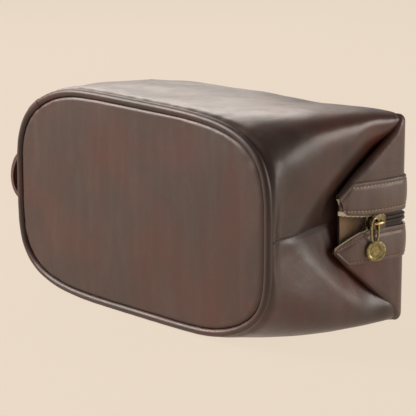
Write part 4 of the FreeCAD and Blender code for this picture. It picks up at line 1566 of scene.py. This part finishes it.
@dataclass
class Handle:
    """The short strap at the left end: an arched, edge-stitched band that droops a little."""

    finishes: Finishes
    shell: Shell
    wide: float = 24.0 * MM
    thick: float = 3.4 * MM
    crown: float = 21.0 * MM
    reach: float = 33.0 * MM
    droop: float = 4.0 * MM
    curl: float = 1.2 * MM
    sag: float = 4.0 * MM  # how far the strap sits towards the base from its node's middle
    foot_margin: float = 3.0 * MM  # how far beyond the arch the strap lies on the wall
    end_slope: float = math.atan2(10.0, 58.0)  # how the end wall leans in towards the top
    thread: Thread = Thread(pitch=3.0 * MM, long=2.3 * MM)

    def arch(self) -> Points:
        """Out and up along the strap's middle line, from one foot to the other, in the end's own frame."""
        low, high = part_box("handle_strap")
        foot = (high.z - low.z) / 2
        turns = np.linspace(-math.pi / 2, math.pi / 2, 40)
        crown = np.stack([self.reach - self.crown * (1 - np.cos(turns)), self.crown * np.sin(turns)], axis=1)
        rising = even_points(np.array([[self.thick / 2, -foot], [self.thick / 2, -self.crown - 4 * MM],
                                       [self.thick, -self.crown]]), 20)
        falling = rising[::-1] * [1.0, -1.0]
        line = even_points(np.concatenate([rising, crown, falling]), 90)
        window = np.hanning(11)
        window /= window.sum()
        padded = np.pad(line, ((5, 5), (0, 0)), mode="edge")
        line = np.stack([np.convolve(padded[:, axis], window, mode="valid") for axis in (0, 1)], axis=1)
        line[:, 1] -= self.droop * (line[:, 0] / self.reach) ** 2
        return even_points(line, 70)

    def wall_reach(self, tall: Points, up: float) -> Points:
        """How far the wall under the strap stands out, taken as straight between the two feet.

        Args:
            tall: Heights of the strap's points above or below the frame's middle.
            up: Distance along the end wall from its middle.

        Returns:
            The reach at each height.
        """
        span = self.crown + self.foot_margin
        share = np.clip((up + span) / (2 * span), 0.0, 1.0)
        lower = np.array([self.shell.left_reach(y, PLACE.mid_z + min(up, -span)) for y in tall])
        upper = np.array([self.shell.left_reach(y, PLACE.mid_z + max(up, span)) for y in tall])
        return between(lower, upper, share)

    def build(self) -> None:
        """Builds the strap, with its feet laid on the end wall, and its two rows of stitches."""
        low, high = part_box("handle_strap")
        middle_y = (low.y + high.y) / 2 - self.sag
        line = self.arch()
        ahead = np.gradient(line, axis=0)
        ahead /= np.linalg.norm(ahead, axis=1)[:, None]
        across = np.linspace(-self.wide / 2, self.wide / 2, 15)
        curl = self.curl * (2 * across / self.wide) ** 2
        tall = middle_y + across * math.cos(self.end_slope)
        points = np.empty((len(line), len(across), 3))
        for row, (out, up), (ahead_out, ahead_up) in zip(points, line, ahead):
            reach = out - curl * ahead_up
            row[:, 0] = -(self.wall_reach(tall, up) + reach * math.cos(self.end_slope))
            row[:, 1] = tall + reach * math.sin(self.end_slope) * 0.3
            row[:, 2] = PLACE.mid_z + up + curl * ahead_out
        mesh = sheet(points, self.thick, flip=True)
        bmesh.ops.recalc_face_normals(mesh, faces=mesh.faces[:])
        strap = publish("handle_leather", mesh, self.finishes.handle)
        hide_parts("handle_strap", "handle_lining")
        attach(strap, "shell")
        outward = np.stack([-ahead[:, 1], np.zeros(len(line)), -ahead[:, 0]], axis=1)
        for label, column in (("base", 2), ("top", 12)):
            row = stitches_along(points[:, column] + outward * 0.1 * MM, self.thread)
            stitching = publish(f"handle_{label}_stitches", row, self.finishes.gold_thread)
            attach(stitching, "shell")


# ---- studio ----------------------------------------------------------------------------------------------


@dataclass(frozen=True)
class Lamp:
    """A soft rectangular light aimed at the bag: angles in degrees, metres and watts."""

    name: str
    azimuth: float
    elevation: float
    away: float
    size: float
    power: float


def direction(azimuth: float, elevation: float) -> Vector:
    """The way towards a place seen at an azimuth, counted from the base's side, and an elevation."""
    turn, rise = math.radians(azimuth), math.radians(elevation)
    return Vector((math.sin(turn) * math.cos(rise), -math.cos(turn) * math.cos(rise), math.sin(rise)))


@dataclass(frozen=True)
class Studio:
    """A seamless pale room, soft lights and the camera."""

    backdrop: tuple[float, float, float] = (0.807, 0.687, 0.565)
    room_light: tuple[float, float, float] = (0.9, 0.84, 0.79)
    room_strength: float = 0.26
    lamp_colour: tuple[float, float, float] = (1.0, 0.912, 0.838)
    lamps: tuple[Lamp, ...] = (Lamp("front left", -48.0, 28.0, 1.6, 1.0, 40.0),
                               Lamp("behind", 241.0, 28.0, 1.6, 1.1, 10.5),
                               Lamp("right", 130.0, 14.0, 1.5, 0.8, 10.6))
    floor_shade: float = 0.04
    floor_glow: float = 0.97
    azimuth: float = 48.1
    elevation: float = 13.1
    distance: float = 1.351
    lens: float = 168.75
    aside: float = 0.0519
    above: float = 0.00156

    def build(self) -> None:
        """Sets the room, lights and camera."""
        scene = bpy.context.scene
        scene.view_settings.view_transform = "Standard"
        self.build_world(scene)
        self.build_floor()
        self.build_lights()
        self.build_camera(scene)

    def build_world(self, scene: bpy.types.Scene) -> None:
        """An even pale surround."""
        world = bpy.data.worlds.new("pale room")
        world.use_nodes = True
        world.node_tree.nodes.clear()
        wiring = Wiring(world.node_tree)
        seen = wiring.add("ShaderNodeBackground", {"Color": (*self.backdrop, 1.0), "Strength": 1.0})
        lit = wiring.add("ShaderNodeBackground", {"Color": (*self.room_light, 1.0),
                                                    "Strength": self.room_strength})
        path = wiring.add("ShaderNodeLightPath")
        both = wiring.add("ShaderNodeMixShader", {0: path.outputs["Is Camera Ray"], 1: lit.outputs[0],
                                                  2: seen.outputs[0]})
        wiring.add("ShaderNodeOutputWorld", {"Surface": both.outputs[0]})
        scene.world = world

    def build_floor(self) -> None:
        """A pale floor that only darkens a little where the bag stands on it."""
        mesh = bmesh.new()
        bmesh.ops.create_grid(mesh, x_segments=1, y_segments=1, size=2.5)
        material, _, shader, _ = start_material("floor")
        shade = [self.floor_shade * part for part in self.backdrop]
        shader.inputs["Base Color"].default_value = (*shade, 1.0)
        shader.inputs["Roughness"].default_value = 1.0
        shader.inputs["Specular IOR Level"].default_value = 0.0
        shader.inputs["Emission Color"].default_value = (*self.backdrop, 1.0)
        shader.inputs["Emission Strength"].default_value = self.floor_glow
        data = bpy.data.meshes.new("floor")
        mesh.to_mesh(data)
        mesh.free()
        data.materials.append(material)
        stand("floor", data)

    def build_lights(self) -> None:
        """Hangs every lamp and aims it at the bag."""
        target = Vector((0.0, 0.0, PLACE.mid_z))
        for lamp in self.lamps:
            data = bpy.data.lights.new(lamp.name, "AREA")
            data.shape = "RECTANGLE"
            data.size = lamp.size
            data.size_y = lamp.size * 0.8
            data.energy = lamp.power
            data.color = self.lamp_colour
            toward = direction(lamp.azimuth, lamp.elevation)
            piece = stand(lamp.name, data)
            piece.location = target + toward * lamp.away
            piece.rotation_euler = (-toward).to_track_quat("-Z", "Y").to_euler()

    def build_camera(self, scene: bpy.types.Scene) -> None:
        """The camera, aimed beside the base's middle so that the whole bag is in view."""
        data = bpy.data.cameras.new("camera")
        data.lens = self.lens
        data.clip_end = 20.0
        toward = direction(self.azimuth, self.elevation)
        turn = math.radians(self.azimuth)
        right = Vector((math.cos(turn), math.sin(turn), 0.0))
        up = toward.cross(right)
        base_face = Vector((0.0, PLACE.base_y, PLACE.mid_z))
        camera = stand("camera", data)
        camera.location = base_face + toward * self.distance + right * self.aside + up * self.above
        camera.rotation_euler = (-toward).to_track_quat("-Z", "Y").to_euler()
        scene.camera = camera


def main() -> None:
    """Builds the bag, the room and the camera, and reports every piece."""
    logging.basicConfig(level=logging.INFO, format="%(message)s")
    finishes = Finishes()
    shell = Shell(finishes)
    shell.build()
    Top(finishes).build()
    for end in End:
        Flap(finishes, end).build()
    Zip(finishes).build()
    Pull(finishes).build()
    Handle(finishes, shell).build()
    Studio().build()


if __name__ == "__main__":
    main()
